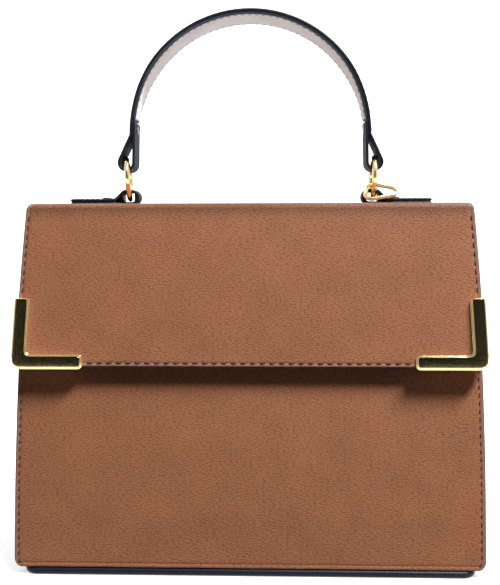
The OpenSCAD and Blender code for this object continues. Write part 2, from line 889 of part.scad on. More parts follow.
// Small three-cornered ring that hangs in the front of the right ring
module side_ring() {
    row = side_corner_r - side_up;
    seat = [ring_x, -ring_mid_r * sin(side_ring_turn), ring_z - ring_mid_r * cos(side_ring_turn)];
    color(gold) translate(seat) rotate([270 - side_ring_lean, 0, 0]) rotate(side_ring_slope)
        wire_loop([[-side_ring_back, row], [side_ring_l - side_ring_back, row],
            [-side_ring_back, row + side_ring_h]], side_corner_r, side_wire_r);
}

front_panel();
front_board();
front_lining();
back_panel();
back_board();
back_lining();
gusset_left();
gusset_right();
gusset_lining_left();
gusset_lining_right();
base_panel();
base_board();
base_lining();
facing_front();
facing_back();
snap_socket();
socket_washer();
slip_pocket();
zip_pocket_bag();
zip_tape_upper();
zip_tape_lower();
zip_chain();
zip_slider();
zip_pull();
lid_panel();
lid_board();
lid_lining();
tab_left();
tab_right();
tab_rivets();
flap_panel();
flap_board();
flap_lining();
snap_stud();
stud_washer();
corner_fitting_left();
corner_fitting_right();
fitting_washers();
handle_strap();
handle_grip();
handle_rivets();
ring_left();
ring_right();
side_ring();
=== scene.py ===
"""A brown top handle bag with gold corner fittings, dressed round its CAD frame.

Lengths in the values and in every shape function are millimetres. mesh_piece turns them into
metres. The front looks towards -Y and +Z is up.
"""
import math
import bpy
import numpy as np
from mathutils import Matrix


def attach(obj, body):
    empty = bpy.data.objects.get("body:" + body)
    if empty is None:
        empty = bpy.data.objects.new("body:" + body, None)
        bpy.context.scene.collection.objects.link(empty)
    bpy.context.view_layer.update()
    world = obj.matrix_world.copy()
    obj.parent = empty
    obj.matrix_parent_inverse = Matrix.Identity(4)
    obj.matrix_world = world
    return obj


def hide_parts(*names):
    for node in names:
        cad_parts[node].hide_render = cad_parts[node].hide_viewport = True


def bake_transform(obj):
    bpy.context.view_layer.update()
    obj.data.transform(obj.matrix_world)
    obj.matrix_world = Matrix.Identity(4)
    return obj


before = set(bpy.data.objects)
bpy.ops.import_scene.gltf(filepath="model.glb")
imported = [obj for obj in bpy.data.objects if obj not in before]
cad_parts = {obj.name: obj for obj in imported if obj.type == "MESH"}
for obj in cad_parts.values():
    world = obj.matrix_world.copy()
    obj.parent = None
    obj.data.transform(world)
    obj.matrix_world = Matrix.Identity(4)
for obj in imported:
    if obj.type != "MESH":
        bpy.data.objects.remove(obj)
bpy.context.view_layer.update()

MM = 0.001
SIDES = ((-1, "left"), (1, "right"))

# Values as in part.scad: walls, base, creases and flap
HALF_W = 134.0
SIDE_DRAW = 7.0
HIP_Z = 30.0
CORNER_R = 5.0
BASE_D = 108.0
BASE_T = 4.4
FOOT_Y = 53.4
WALL_SLOPE = 0.0905
LEAN = math.atan(WALL_SLOPE)
HINGE_Z = 207.7
WALL_TOP = 203.2
FRONT_HINGE_Y = -35.5
REAR_HINGE_Y = 31.2
STACK_T = 3.8
FLAP_LEAN = math.radians(7.79)
FLAP_LOW = 119.0
FLAP_DROP = (HINGE_Z - FLAP_LOW) / math.cos(FLAP_LEAN)
LEATHER_T = 1.6
WALL_T = 3.0
LINING_T = 0.8
GUSSET_T = 1.4
GUSSET_FOLD = 12.0
BODY_H = 211.5
BASE_CORNER_R = 8.0

# Handle and rings
ARCH_Z = 253.5
ARCH_R = 72.5
STRAP_T = 1.8
GRIP_T = 1.5
LOOP_R = 5.3
LOOP_Z = 236.77
RING_X = 74.6
RING_Z = 227.6
RING_R = 12.4
WIRE_R = 1.6
STRAP_W = 27.0
STRAP_END_W = 18.0
TAPER_LOW = 262.2
TAPER_HIGH = 299.9
RETURN_ANGLE = 6.6
GRIP_MARGIN = 0.5
# Degrees by which the left and the right ring hang turned and leaning.
RING_HANG = ((5.6, -4), (-1.8, 1))

# Tabs on the lid, and rivet heads
TAB_OUT = 109.5
TAB_T = 1.8
TAB_W = 18.0
TAB_LOOP_W = 12.0
TAB_LOOP_H = 9.22
TAB_NOSE_X = 72.0
TAB_PEAK_X = 76.5
TAB_FOOT_X = 81.56
TAB_RIVET_X = 87.5
TAB_RIVET_Y = 4.5
TAB_CORNER_R = 3.0
TAB_TOP = BODY_H + 2 * TAB_T
HEAD_R = 2.6
HEAD_H = 1.1
TAIL_H = 0.5

# Corner fittings
FIT_ARM = 39.0
FIT_W = 8.4
FIT_LIP = 1.3
FIT_MID = FIT_W / 2 - FIT_LIP
FIT_CORNER_R = 5.5
FIT_INNER_R = 2.4
FIT_FADE = 3.6
FIT_LOW_END_R = 2.6
FIT_SIDE_END_R = 1.6
FLAP_CORNER_R = FIT_CORNER_R - FIT_LIP
SKIRT = 1.15
SKIRT_LOW = 0.15
# Distances from a casting's edge, and its heights over the flap there: with the bevelled
# flange and its groove, and plain. FIT_FINE are the distances at an end without a bevel.
FIT_D = np.array([0, 0.04, 0.12, 0.25, 0.42, 0.58, 0.68, 0.74, 0.79, 0.84, 0.89, 0.95, 1.05, 1.3,
                  1.8, 3.0, 4.2])
FIT_FLANGE = np.array([0, 0.5, 0.72, 0.82, 0.86, 0.88, 0.92, 1.2, 1.9, 2.6, 2.95, 3.05, 3.08,
                       3.11, 3.14, 3.18, 3.2])
FIT_PLAIN = np.array([0, 1.6, 2.4, 2.8, 2.95, 3.0, 3.03, 3.05, 3.06, 3.07, 3.08, 3.09, 3.1, 3.12,
                      3.15, 3.18, 3.2])
FIT_FINE = np.array([0, 0.04, 0.12, 0.25, 0.4, 0.8, 2.0, 3.2, 4.2])

# Inside: zip, pockets, facings and linings
ZIP_UP = 150.0
ZIP_HALF_L = 75.0
ZIP_HALF_H = 5.5
ZIP_BAG_HALF_L = 83.0
ZIP_BAG_LOW = 56.0
ZIP_BAG_HIGH = 161.0
TAPE_IN = 1.6
TAPE_OUT = 5.45
POCKET_HALF_L = 75.0
POCKET_LOW = 62.0
POCKET_H = 85.0
FACING_H = 24.0
FACING_INSET = 5.0
FLOOR_TOP = 7.2
FLOOR_HALF_L = 129.2
FLOOR_HALF_D = 49.2
LINING_CLEAR = 2.6
LINING_CORNER_R = 5.0
# Depths under the walls' faces: the linings' middles, the cloths behind the zip, the pocket.
FRONT_LINING_DEPTH = 3.4
BACK_LINING_DEPTH = 4.0
ZIP_BAG_DEPTHS = (3.05, 3.55)
TAPE_DEPTHS = (3.62, 4.15)
POCKET_DEPTH = 4.4
POCKET_RISE = 8.0
GOLD_NODES = {"snap_socket", "snap_stud", "socket_washer", "stud_washer", "fitting_washers",
              "side_ring", "zip_chain", "zip_slider", "zip_pull"}

# Values of the finish: seams' distances from the edges, thread, padding, and the painted shade that
# darkens the lid's front crease
SIDE_STITCH = 2.6
FLAP_STITCH = 2.4
STRAP_STITCH = 2.4
GRIP_STITCH = 1.9
FACING_STITCH = 2.4
ZIP_STITCH = 2.2
STITCH_SINK = 0.12
STITCH_ROUND = 6
# Pitch of a row of stitches, length of one stitch and radius of its thread.
WALL_SEAM = (4.5, 2.9, 0.36)
FLAP_SIDE_SEAM = (5.0, 3.5, 0.36)
FLAP_LOW_SEAM = (5.45, 3.7, 0.36)
HANDLE_SEAM = (4.2, 2.9, 0.3)
TAB_SEAM = (3.2, 2.2, 0.24)
FACING_SEAM = (4.5, 3.1, 0.3)
ZIP_SEAM = (3.2, 2.2, 0.22)
# Widths over which the sheets' edges are rounded, and how full that round is.
WALL_EDGE = 0.9
LID_EDGE = 1.0
BACK_EDGE = 0.8
GUSSET_EDGE = 0.6
STRAP_EDGE = 0.7
TAB_EDGE = 0.6
CLOTH_EDGE = 0.6
EDGE_POWER = 2.4
LID_REAR = 22.0
LID_INSET = 1.6
SWELL = 1.3
UNEVEN = 0.22
SEAM_DEPTH = 0.22
# Painted shade along the lid's front crease: its strength, and the width of its bell in mm.
CREASE_SHADE_STRENGTH = 0.52
CREASE_SHADE_WIDTH = 4.2


# Forms
def grid(*values):
    """Numbers and arrays, spread to one shape and stacked as points."""
    return np.stack(np.broadcast_arrays(*values), axis=-1)


def smooth(t):
    """Share that starts and stops gently: three t squared less two t cubed."""
    return t * t * (3 - 2 * t)


def running(u, v):
    """Length along a line up to each of its points."""
    return np.concatenate([[0], np.cumsum(np.hypot(np.diff(u), np.diff(v)))])


def side_normal(u, v):
    """Unit normal of a line, a quarter turn to the left of its direction."""
    along_u, along_v = np.gradient(u), np.gradient(v)
    size = np.hypot(along_u, along_v)
    return -along_v / size, along_u / size


def side_x(z):
    """Half the bag's width at a height: a parabola above the hip."""
    return HALF_W - SIDE_DRAW * (np.maximum(0, z - HIP_Z) / (HINGE_Z - HIP_Z)) ** 2


def wall_half(z):
    """Half the width of a wall, with round corners of CORNER_R at its foot."""
    into = np.clip(CORNER_R - (z - BASE_T), 0, CORNER_R)
    return side_x(z) - CORNER_R + np.sqrt(CORNER_R ** 2 - into ** 2)


def wall_point(x, z, depth, side=-1):
    """Point of a leaning wall at height z, depth under its face. Side -1 is the front."""
    y = FOOT_Y - (z - BASE_T) * WALL_SLOPE - depth * math.cos(LEAN)
    return grid(x, side * y, z - depth * math.sin(LEAN))


def up_wall(up):
    """Height of a place that is so far up the leaning wall from its foot."""
    return BASE_T + up * math.cos(LEAN)


def flap_point(x, up, out):
    """Point on the hanging flap: up is nought at the crease, out is from its inner face."""
    s, c = math.sin(FLAP_LEAN), math.cos(FLAP_LEAN)
    return grid(x, FRONT_HINGE_Y + s * up - c * out, HINGE_Z + c * up + s * out)


def fold_in(z, share):
    """How far a gusset is folded in: nought below the hip and GUSSET_FOLD at the mouth, as a
    soft ridge over the depth. share is 0 at the ridge and 1 at the walls."""
    depth = GUSSET_FOLD * (np.maximum(0, z - HIP_Z) / (WALL_TOP - HIP_Z)) ** 1.5
    return np.maximum(depth * (1 - np.sqrt(share ** 2 + 0.0012) / 1.0006), 0)


def drawn_in(a, b):
    """Share by which a point is drawn to a corner's centre, so that squares round the centre
    turn into circles. a and b are its distances past the centre, both ways."""
    share = 1 - np.maximum(a, b) / np.maximum(np.hypot(a, b), 1e-9)
    return np.where((a > 0) & (b > 0), share, 0.0)


def steps(total, fine, step):
    """Places from 0 to total: the fine distances from both ends and even steps between."""
    fine = np.array(fine, float)
    inner = np.linspace(fine[-1], total - fine[-1], max(2, int((total - 2 * fine[-1]) / step) + 1))
    return np.concatenate([fine[:-1], inner, total - fine[:-1][::-1]])


def round_edge(d, r, power=2.0):
    """Share of a sheet's half thickness at distance d from its edge: a quarter of an oval."""
    return (1 - (1 - np.clip(d / r, 0, 1)) ** power) ** (1 / power)


def waves(u, v, lengths, seed):
    """Soft unevenness between -1 and 1: a sum of slow sine waves in set directions."""
    draw = np.random.default_rng(seed)
    total = 0
    for length in lengths:
        turn, phase = draw.uniform(0, 2 * math.pi, 2)
        total = total + np.sin(2 * math.pi * (u * math.cos(turn) + v * math.sin(turn)) / length
                               + phase)
    return total / len(lengths)


def seam_dip(d, at, depth=SEAM_DEPTH, wide=0.55):
    """How far a row of stitches pulls a surface down: a narrow bell at a distance."""
    return depth * np.exp(-((d - at) / wide) ** 2)


def swell(x, half, z, top, fall):
    """How far a wall's leather stands off its board: most in the middle of its lower half."""
    fullness = np.clip((z - BASE_T) / 30, 0, 1) * np.clip((top - z) / fall, 0, 1)
    return SWELL * (1 - (x / half) ** 2) * fullness ** 1.2


EDGE_FINE = [0, 0.08, 0.25, 0.5, 0.85, 1.25, 1.7, 2.1, 2.4, 2.7, 3.0, 3.4, 4.0, 5.0, 7.0]
# Columns over the bag's width from -1 to 1, close together at its sides.
ACROSS = (steps(2 * HALF_W, EDGE_FINE, 4.0) - HALF_W)[None, :] / HALF_W

# Camera and light
CAMERA_AT = (15.0, -503.8, 196.2)
CAMERA_PITCH = 4.37
CAMERA_TURN = 1.75
CAMERA_ROLL = -0.12
FOCAL_PX = 818.6
FRAME_W_PX = 500
SENSOR_MM = 36.0

camera_data = bpy.data.cameras.new("studio_camera")
camera_data.sensor_fit = "HORIZONTAL"
camera_data.sensor_width = SENSOR_MM
camera_data.lens = FOCAL_PX / FRAME_W_PX * SENSOR_MM
camera_data.clip_start = 0.01
camera = bpy.data.objects.new("studio_camera", camera_data)
camera.location = [v * MM for v in CAMERA_AT]
camera.rotation_euler = (
    Matrix.Rotation(math.radians(CAMERA_TURN), 3, "Z")
    @ Matrix.Rotation(math.radians(90 - CAMERA_PITCH), 3, "X")
    @ Matrix.Rotation(math.radians(CAMERA_ROLL), 3, "Z")).to_euler()
bpy.context.scene.collection.objects.link(camera)
bpy.context.scene.camera = camera
bpy.context.scene.view_settings.view_transform = "Standard"
bpy.context.scene.view_settings.look = "None"


def area_light(name, at, towards, size, watts, colour=(1, 1, 1)):
    """A soft box: a rectangular light at a place in metres, turned to look at a point."""
    data = bpy.data.lights.new(name, "AREA")
    data.shape = "RECTANGLE"
    data.size, data.size_y = size
    data.energy = watts
    data.color = colour
    lamp = bpy.data.objects.new(name, data)
    lamp.location = at
    aim = np.array(towards) - np.array(at)
    turn = math.atan2(aim[1], aim[0]) - math.pi / 2
    tilt = math.atan2(aim[2], math.hypot(aim[0], aim[1]))
    lamp.rotation_euler = (math.pi / 2 + tilt, 0, turn)
    bpy.context.scene.collection.objects.link(lamp)
    return lamp


# The key stands high on the right in front, so that the flap throws a dark band under itself.
area_light("softbox_key", (1.15, -1.05, 2.4), (0, -0.05, 0.12), (1.0, 0.5), 156)
area_light("softbox_backdrop", (0.0, 0.35, 1.3), (0, 1.6, 0.35), (1.8, 0.5), 42)


# Material tools
def linear(code):
    """sRGB hex code to a linear colour with alpha."""
    parts = [int(code[i:i + 2], 16) / 255 for i in (1, 3, 5)]
    return tuple(v / 12.92 if v <= 0.04045 else ((v + 0.055) / 1.055) ** 2.4 for v in parts) + (1,)


def shade(colour, by):
    """A colour made darker or lighter by a factor."""
    return tuple(min(1, v * by) for v in colour[:3]) + (1,)


def grey(v):
    """A linear grey."""
    return (v, v, v, 1)


def add(tree, kind, inputs=None, **settings):
    """Adds a node. inputs maps a socket's name or number to a value, or to (node, output)."""
    made = tree.nodes.new(kind)
    for name, value in settings.items():
        setattr(made, name, value)
    for socket, value in (inputs or {}).items():
        if isinstance(value, tuple) and isinstance(value[0], bpy.types.Node):
            tree.links.new(value[0].outputs[value[1]], made.inputs[socket])
        else:
            made.inputs[socket].default_value = value
    return made


def ramp(made, stops):
    """Sets a colour ramp's stops, as (place, colour)."""
    bar = made.color_ramp
    while len(bar.elements) < len(stops):
        bar.elements.new(0.5)
    for element, (place_at, colour) in zip(bar.elements, stops):
        element.position = place_at
        element.color = colour
    return made


def new_material(name):
    """A new material and its node tree, emptied."""
    material = bpy.data.materials.new(name)
    material.use_nodes = True
    tree = material.node_tree
    tree.nodes.clear()
    return material, tree


def finish_material(tree, inputs):
    """Ends a material's tree with its shader and its output."""
    shader = add(tree, "ShaderNodeBsdfPrincipled", inputs)
    add(tree, "ShaderNodeOutputMaterial", {"Surface": (shader, 0)})


# World
world = bpy.data.worlds.new("studio_world")
bpy.context.scene.world = world
world.use_nodes = True
air = world.node_tree
air.nodes.clear()
# A dark gap in the studio stands where the camera is, as the open side of a light tent does.
# Polished metal that faces it turns dark, and metal that faces the tent turns pale.
coords = add(air, "ShaderNodeTexCoord")
to_front = add(air, "ShaderNodeVectorMath", {0: (coords, "Generated"), 1: (0, -0.993, 0.12)},
               operation="DOT_PRODUCT")
mirrored = ramp(add(air, "ShaderNodeValToRGB", {"Fac": (to_front, "Value")}),
                [(0.0, linear("#f7f7f8")), (0.80, linear("#f1f1f2")), (0.90, linear("#1b1c16")),
                 (1.0, linear("#0e0f0c"))])
# Soft light comes only from behind the bag, and the eye sees plain white.
to_back = add(air, "ShaderNodeVectorMath", {0: (coords, "Generated"), 1: (0.25, 0.95, 0.1)},
              operation="DOT_PRODUCT")
wrapped_light = ramp(add(air, "ShaderNodeValToRGB", {"Fac": (to_back, "Value")}),
                     [(0.06, linear("#1e1e20")), (0.42, linear("#ffffff"))])
ray = add(air, "ShaderNodeLightPath")
lit = add(air, "ShaderNodeMix", {0: (ray, "Is Diffuse Ray"), 6: (mirrored, "Color"),
                                 7: (wrapped_light, "Color")}, data_type="RGBA")
seen = add(air, "ShaderNodeMix", {0: (ray, "Is Camera Ray"), 6: (lit, 2), 7: linear("#ffffff")},
           data_type="RGBA")
sky = add(air, "ShaderNodeBackground", {"Color": (seen, 2), "Strength": 1.0})
add(air, "ShaderNodeOutputWorld", {"Surface": (sky, 0)})


# Mesh tools
def mesh_piece(name, verts, faces, material, uv=None, rim=None):
    """A mesh from arrays: verts in mm, faces of four corners, uv for each face corner in mm,
    rim as each vertex's distance from the sheet's edge in mm. Faces that point inwards, by the
    sign of the volume that they enclose, are turned round."""
    a, b, c, d = (verts[faces[:, k]] for k in range(4))
    volume = (np.einsum("ij,ij->i", a, np.cross(b, c)) + np.einsum("ij,ij->i", a, np.cross(c, d)))
    if volume.sum() < 0:
        faces = faces[:, ::-1]
        uv = None if uv is None else uv[:, ::-1]
    mesh = bpy.data.meshes.new(name)
    mesh.from_pydata(verts * MM, [], faces)
    mesh.polygons.foreach_set("use_smooth", np.full(len(faces), True))
    if uv is not None:
        layer = mesh.uv_layers.new(name="surface")
        layer.data.foreach_set("uv", (uv * MM).astype(np.float32).ravel())
    if rim is not None:
        attribute = mesh.attributes.new("rim", "FLOAT", "POINT")
        attribute.data.foreach_set("value", rim.astype(np.float32).ravel())
    mesh.update()
    piece = bpy.data.objects.new(name, mesh)
    bpy.context.scene.collection.objects.link(piece)
    mesh.materials.append(material)
    return piece


def corners_of(index):
    """Four corners of every cell of a grid of vertex numbers."""
    return np.stack([index[:-1, :-1], index[1:, :-1], index[1:, 1:], index[:-1, 1:]],
                    axis=-1).reshape(-1, 4)


def slab(name, top, bottom, material, uv=None, rim=None):
    """A closed sheet: a top and a bottom grid that share the vertices of their rim."""
    rows, cols = top.shape[:2]
    over = np.arange(rows * cols).reshape(rows, cols)
    under = over.copy()
    under[1:-1, 1:-1] = rows * cols + np.arange((rows - 2) * (cols - 2)).reshape(rows - 2, cols - 2)
    verts = np.concatenate([top.reshape(-1, 3), bottom[1:-1, 1:-1].reshape(-1, 3)])
    faces = np.concatenate([corners_of(over), corners_of(under)[:, ::-1]])
    if uv is not None:
        flat, cell = uv.reshape(-1, 2), corners_of(over)
        uv = np.concatenate([flat[cell], flat[cell[:, ::-1]]])
    if rim is not None:
        rim = np.concatenate([rim.ravel(), rim[1:-1, 1:-1].ravel()])
    return mesh_piece(name, verts, faces, material, uv, rim)


def tube(name, rings, material, closed=False, uv=None):
    """A skin over rings of points. An open one is closed by flat ends of quads."""
    count, around = rings.shape[:2]
    index = np.arange(count * around).reshape(count, around)
    wrapped = np.concatenate([index, index[:, :1]], axis=1)
    if closed:
        wrapped = np.concatenate([wrapped, wrapped[:1]])
    faces = [corners_of(wrapped)]
    if not closed:
        k = np.arange(around // 2 - 1)
        for end in (index[0], index[-1][::-1]):
            faces.append(np.stack([end[k], end[k + 1], end[around - 2 - k], end[around - 1 - k]],
                                  axis=-1))
    faces = np.concatenate(faces)
    return mesh_piece(name, rings.reshape(-1, 3), faces, material,
                      None if uv is None else uv[faces])


def swept(name, x, line, normal, up, below, v, rim):
    """A brown slab across the bag: x over its width, carried along a line in the YZ plane that
    is given as points and normals, thick by up and below. v is the pattern's other place."""
    mid = grid(x, line[..., 0], line[..., 1])
    out = grid(0 * x, normal[:, None, 0], normal[:, None, 1])
    return slab(name, mid + out * up[..., None], mid - out * below[..., None], brown_hide,
                grid(x, v), rim)


def join(name, parts):
    """Joins small pieces into one object."""
    bpy.ops.object.select_all(action="DESELECT")
    for part in parts:
        part.select_set(True)
    bpy.context.view_layer.objects.active = parts[0]
    bpy.ops.object.join()
    parts[0].name = name
    return parts[0]


def place(piece, body, slot_name, *nodes):
    """Puts a piece on its body and hides the CAD nodes it stands for. slot_name is not used."""
    if nodes:
        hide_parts(*nodes)
    if body:
        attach(piece, body)
    return piece


# Places along a stitch and its thickness there: blunt ends and an even middle.
STITCH_AT = np.array([-0.5, -0.44, -0.28, 0.0, 0.28, 0.44, 0.5])
STITCH_THIN = np.array([0.3, 0.7, 0.95, 1.0, 0.95, 0.7, 0.3])


def stitches(name, path, up, pitch, length, radius, material):
    """Thread along a path: one bowed grain of rice for each stitch, its ends in the leather.

    Each stitch is a few rings across the path, small at its ends, lifted in its middle."""
    up = np.broadcast_to(np.asarray(up, float), path.shape)
    run = np.concatenate([[0], np.cumsum(np.linalg.norm(np.diff(path, axis=0), axis=1))])
    count = max(1, int(round(run[-1] / pitch)))
    middle = (np.arange(count)[:, None] + 0.5) * run[-1] / count
    here = middle + STITCH_AT[None, :] * length
    at = np.stack([np.interp(here, run, path[:, k]) for k in range(3)], axis=-1)
    out = np.stack([np.interp(here, run, up[:, k]) for k in range(3)], axis=-1)
    out /= np.linalg.norm(out, axis=-1, keepdims=True)
    along = at[:, -1:] - at[:, :1]
    along = along / np.linalg.norm(along, axis=-1, keepdims=True)
    aside = np.cross(out, np.broadcast_to(along, out.shape))
    lift = radius * (0.75 - 1.9 * (2 * np.abs(STITCH_AT)) ** 4)
    at = at + out * lift[None, :, None]
    angle = 2 * math.pi * np.arange(STITCH_ROUND) / STITCH_ROUND
    ring = (aside[:, :, None] * np.cos(angle)[None, None, :, None]
            + out[:, :, None] * np.sin(angle)[None, None, :, None])
    points = at[:, :, None] + ring * (radius * STITCH_THIN)[None, :, None, None]
    rings = len(STITCH_AT)
    one = np.arange(rings * STITCH_ROUND).reshape(rings, STITCH_ROUND)
    skin = corners_of(np.concatenate([one, one[:, :1]], axis=1))
    caps = np.array([one[0][[0, 1, 2, 3]], one[0][[0, 3, 4, 5]],
                     one[-1][[3, 2, 1, 0]], one[-1][[5, 4, 3, 0]]])
    faces = np.concatenate([skin, caps])
    every = (np.arange(count) * rings * STITCH_ROUND)[:, None, None] + faces[None]
    return mesh_piece(name, points.reshape(-1, 3), every.reshape(-1, 4), material)


# Materials
def painted_rim(tree, colour, paint, start, width):
    """A sheet's colour with edge paint laid over it beside its rim, and the paint's share. The
    paint is full up to start and gone a width further on, in mm."""
    rim = add(tree, "ShaderNodeAttribute", attribute_name="rim")
    edge = add(tree, "ShaderNodeMapRange", {"Value": (rim, "Fac"), "From Min": start,
                                            "From Max": start + width, "To Min": 1.0,
                                            "To Max": 0.0})
    painted = add(tree, "ShaderNodeMix", {0: (edge, 0), 6: colour, 7: linear(paint)},
                  data_type="RGBA")
    return painted, edge


def leather(name, colours, paint, paint_to, grain, height, rough, specular, margin=None):
    """Leather with an embossed grain: long pebbles with darker valleys, a second finer grain,
    slow mottling, painted shade along the crease that takes down the key light's bright line
    there, and painted edges where the sheet's rim is near. colours are those of the ridges, the
    slopes and the valleys, grain is a pebble's width and height in mm, height the emboss in mm,
    margin the paler leather beside the painted edge."""
    material, tree = new_material(name)
    uv = add(tree, "ShaderNodeUVMap", uv_map="surface")
    drift = add(tree, "ShaderNodeTexNoise", {"Vector": (uv, 0), "Scale": 1 / (9 * MM),
                                             "Detail": 2.0})
    shift = add(tree, "ShaderNodeVectorMath", {0: (drift, "Color"), 1: (1.6 * MM, 1.2 * MM, 0)},
                operation="MULTIPLY")
    moved = add(tree, "ShaderNodeVectorMath", {0: (uv, 0), 1: (shift, 0)}, operation="ADD")
    wide = add(tree, "ShaderNodeMapping", {"Vector": (moved, 0), "Scale": (
        1 / (grain[0] * MM), 1 / (grain[1] * MM), 1)})
    pebble = add(tree, "ShaderNodeTexVoronoi", {"Vector": (wide, 0), "Scale": 1.0,
                                                "Smoothness": 0.35, "Randomness": 0.95},
                 feature="SMOOTH_F1", voronoi_dimensions="2D")
    fine = add(tree, "ShaderNodeTexVoronoi", {"Vector": (wide, 0), "Scale": 2.3,
                                              "Smoothness": 0.3, "Randomness": 1.0},
               feature="SMOOTH_F1", voronoi_dimensions="2D")
    pores = add(tree, "ShaderNodeTexNoise", {"Vector": (wide, 0), "Scale": 3.4, "Detail": 3.0,
                                             "Roughness": 0.6})
    both = add(tree, "ShaderNodeMath", {0: (fine, "Distance"), 1: 0.45, 2: (pebble, "Distance")},
               operation="MULTIPLY_ADD")
    relief = add(tree, "ShaderNodeMath", {0: (pores, "Fac"), 1: 0.35, 2: (both, 0)},
                 operation="MULTIPLY_ADD")
    hide = ramp(add(tree, "ShaderNodeValToRGB", {"Fac": (relief, 0)}),
                list(zip((0.28, 0.62, 0.95), map(linear, colours))))
    slow = add(tree, "ShaderNodeTexNoise", {"Vector": (uv, 0), "Scale": 1 / (22 * MM),
                                            "Detail": 3.0, "Roughness": 0.55})
    tone = ramp(add(tree, "ShaderNodeValToRGB", {"Fac": (slow, "Fac")}),
                [(0.3, grey(0.90)), (0.7, grey(1.06))])
    toned = add(tree, "ShaderNodeMix", {0: 1.0, 6: (hide, "Color"), 7: (tone, "Color")},
                data_type="RGBA", blend_type="MULTIPLY")
    # Painted shade: dark brown laid along the lid's front crease to take down the key light's
    # bright line there.
    crease_shade_share = add(tree, "ShaderNodeAttribute", attribute_name="burnish")
    colour = add(tree, "ShaderNodeMix", {0: (crease_shade_share, "Fac"), 6: (toned, 2), 7: linear("#1c0f0c")},
                 data_type="RGBA")
    if margin:
        rim = add(tree, "ShaderNodeAttribute", attribute_name="rim")
        # The stops are shares of 10 mm, so that the margin ends between 2 and 2.7 mm, at the seam.
        near = add(tree, "ShaderNodeMath", {0: (rim, "Fac"), 1: 10.0}, operation="DIVIDE")
        band = ramp(add(tree, "ShaderNodeValToRGB", {"Fac": (near, 0)}),
                    [(0.0, grey(0.75)), (0.20, grey(0.5)), (0.27, grey(0.0))])
        colour = add(tree, "ShaderNodeMix", {0: (band, "Color"), 6: (colour, 2),
                                             7: linear(margin)}, data_type="RGBA")
    painted, edge = painted_rim(tree, (colour, 2), paint, paint_to, 0.25)
    worked = ramp(add(tree, "ShaderNodeValToRGB", {"Fac": (relief, 0)}),
                  [(0.25, grey(rough - 0.07)), (0.9, grey(min(1, rough + 0.16)))])
    evened = add(tree, "ShaderNodeMix", {0: (edge, 0), 6: (worked, "Color"), 7: grey(0.42)},
                 data_type="RGBA")
    bump = add(tree, "ShaderNodeBump", {"Height": (relief, 0), "Strength": 1.0,
                                        "Distance": height * MM}, invert=True)
    finish_material(tree, {"Base Color": (painted, 2), "Roughness": (evened, 2),
                           "Normal": (bump, 0), "IOR": 1.5, "Specular IOR Level": specular})
    return material


def plain(name, hexa, rough, metallic=0.0, height=0.0, grain=0.5, tint=0.12):
    """A close-grained surface: slow colour variation and a fine bump on Object coordinates."""
    material, tree = new_material(name)
    coords = add(tree, "ShaderNodeTexCoord")
    slow = add(tree, "ShaderNodeTexNoise", {"Vector": (coords, "Object"), "Scale": 1 / (14 * MM),
                                            "Detail": 3.0})
    base = linear(hexa)
    colour = ramp(add(tree, "ShaderNodeValToRGB", {"Fac": (slow, "Fac")}),
                  [(0.3, shade(base, 1 - tint)), (0.7, shade(base, 1 + tint))])
    fine = add(tree, "ShaderNodeTexNoise", {"Vector": (coords, "Object"),
                                            "Scale": 1 / (grain * MM), "Detail": 2.0})
    rougher = add(tree, "ShaderNodeMapRange", {"Value": (fine, "Fac"), "From Min": 0.3,
                                               "From Max": 0.7, "To Min": rough * 0.85,
                                               "To Max": min(1, rough * 1.2)})
    inputs = {"Base Color": (colour, "Color"), "Roughness": (rougher, 0), "Metallic": metallic}
    if height:
        bump = add(tree, "ShaderNodeBump", {"Height": (fine, "Fac"), "Distance": height * MM})
        inputs["Normal"] = (bump, 0)
    finish_material(tree, inputs)
    return material


def suede(name, hexa, paint):
    """Pale microsuede: a short even nap with a soft sheen, and painted edges at its rim."""
    material, tree = new_material(name)
    uv = add(tree, "ShaderNodeUVMap", uv_map="surface")
    nap = add(tree, "ShaderNodeTexNoise", {"Vector": (uv, 0), "Scale": 1 / (0.45 * MM),
                                           "Detail": 3.0, "Roughness": 0.7})
    slow = add(tree, "ShaderNodeTexNoise", {"Vector": (uv, 0), "Scale": 1 / (16 * MM),
                                            "Detail": 2.0})
    mixed = add(tree, "ShaderNodeMath", {0: (nap, "Fac"), 1: 0.4, 2: (slow, "Fac")},
                operation="MULTIPLY_ADD")
    base = linear(hexa)
    tone = ramp(add(tree, "ShaderNodeValToRGB", {"Fac": (mixed, 0)}),
                [(0.4, shade(base, 0.88)), (0.9, shade(base, 1.08))])
    painted = painted_rim(tree, (tone, "Color"), paint, 0.75, 0.25)[0]
    bump = add(tree, "ShaderNodeBump", {"Height": (nap, "Fac"), "Distance": 0.06 * MM})
    finish_material(tree, {"Base Color": (painted, 2), "Roughness": 0.85, "Normal": (bump, 0),
                           "Sheen Weight": 0.3, "Sheen Roughness": 0.5})
    return material


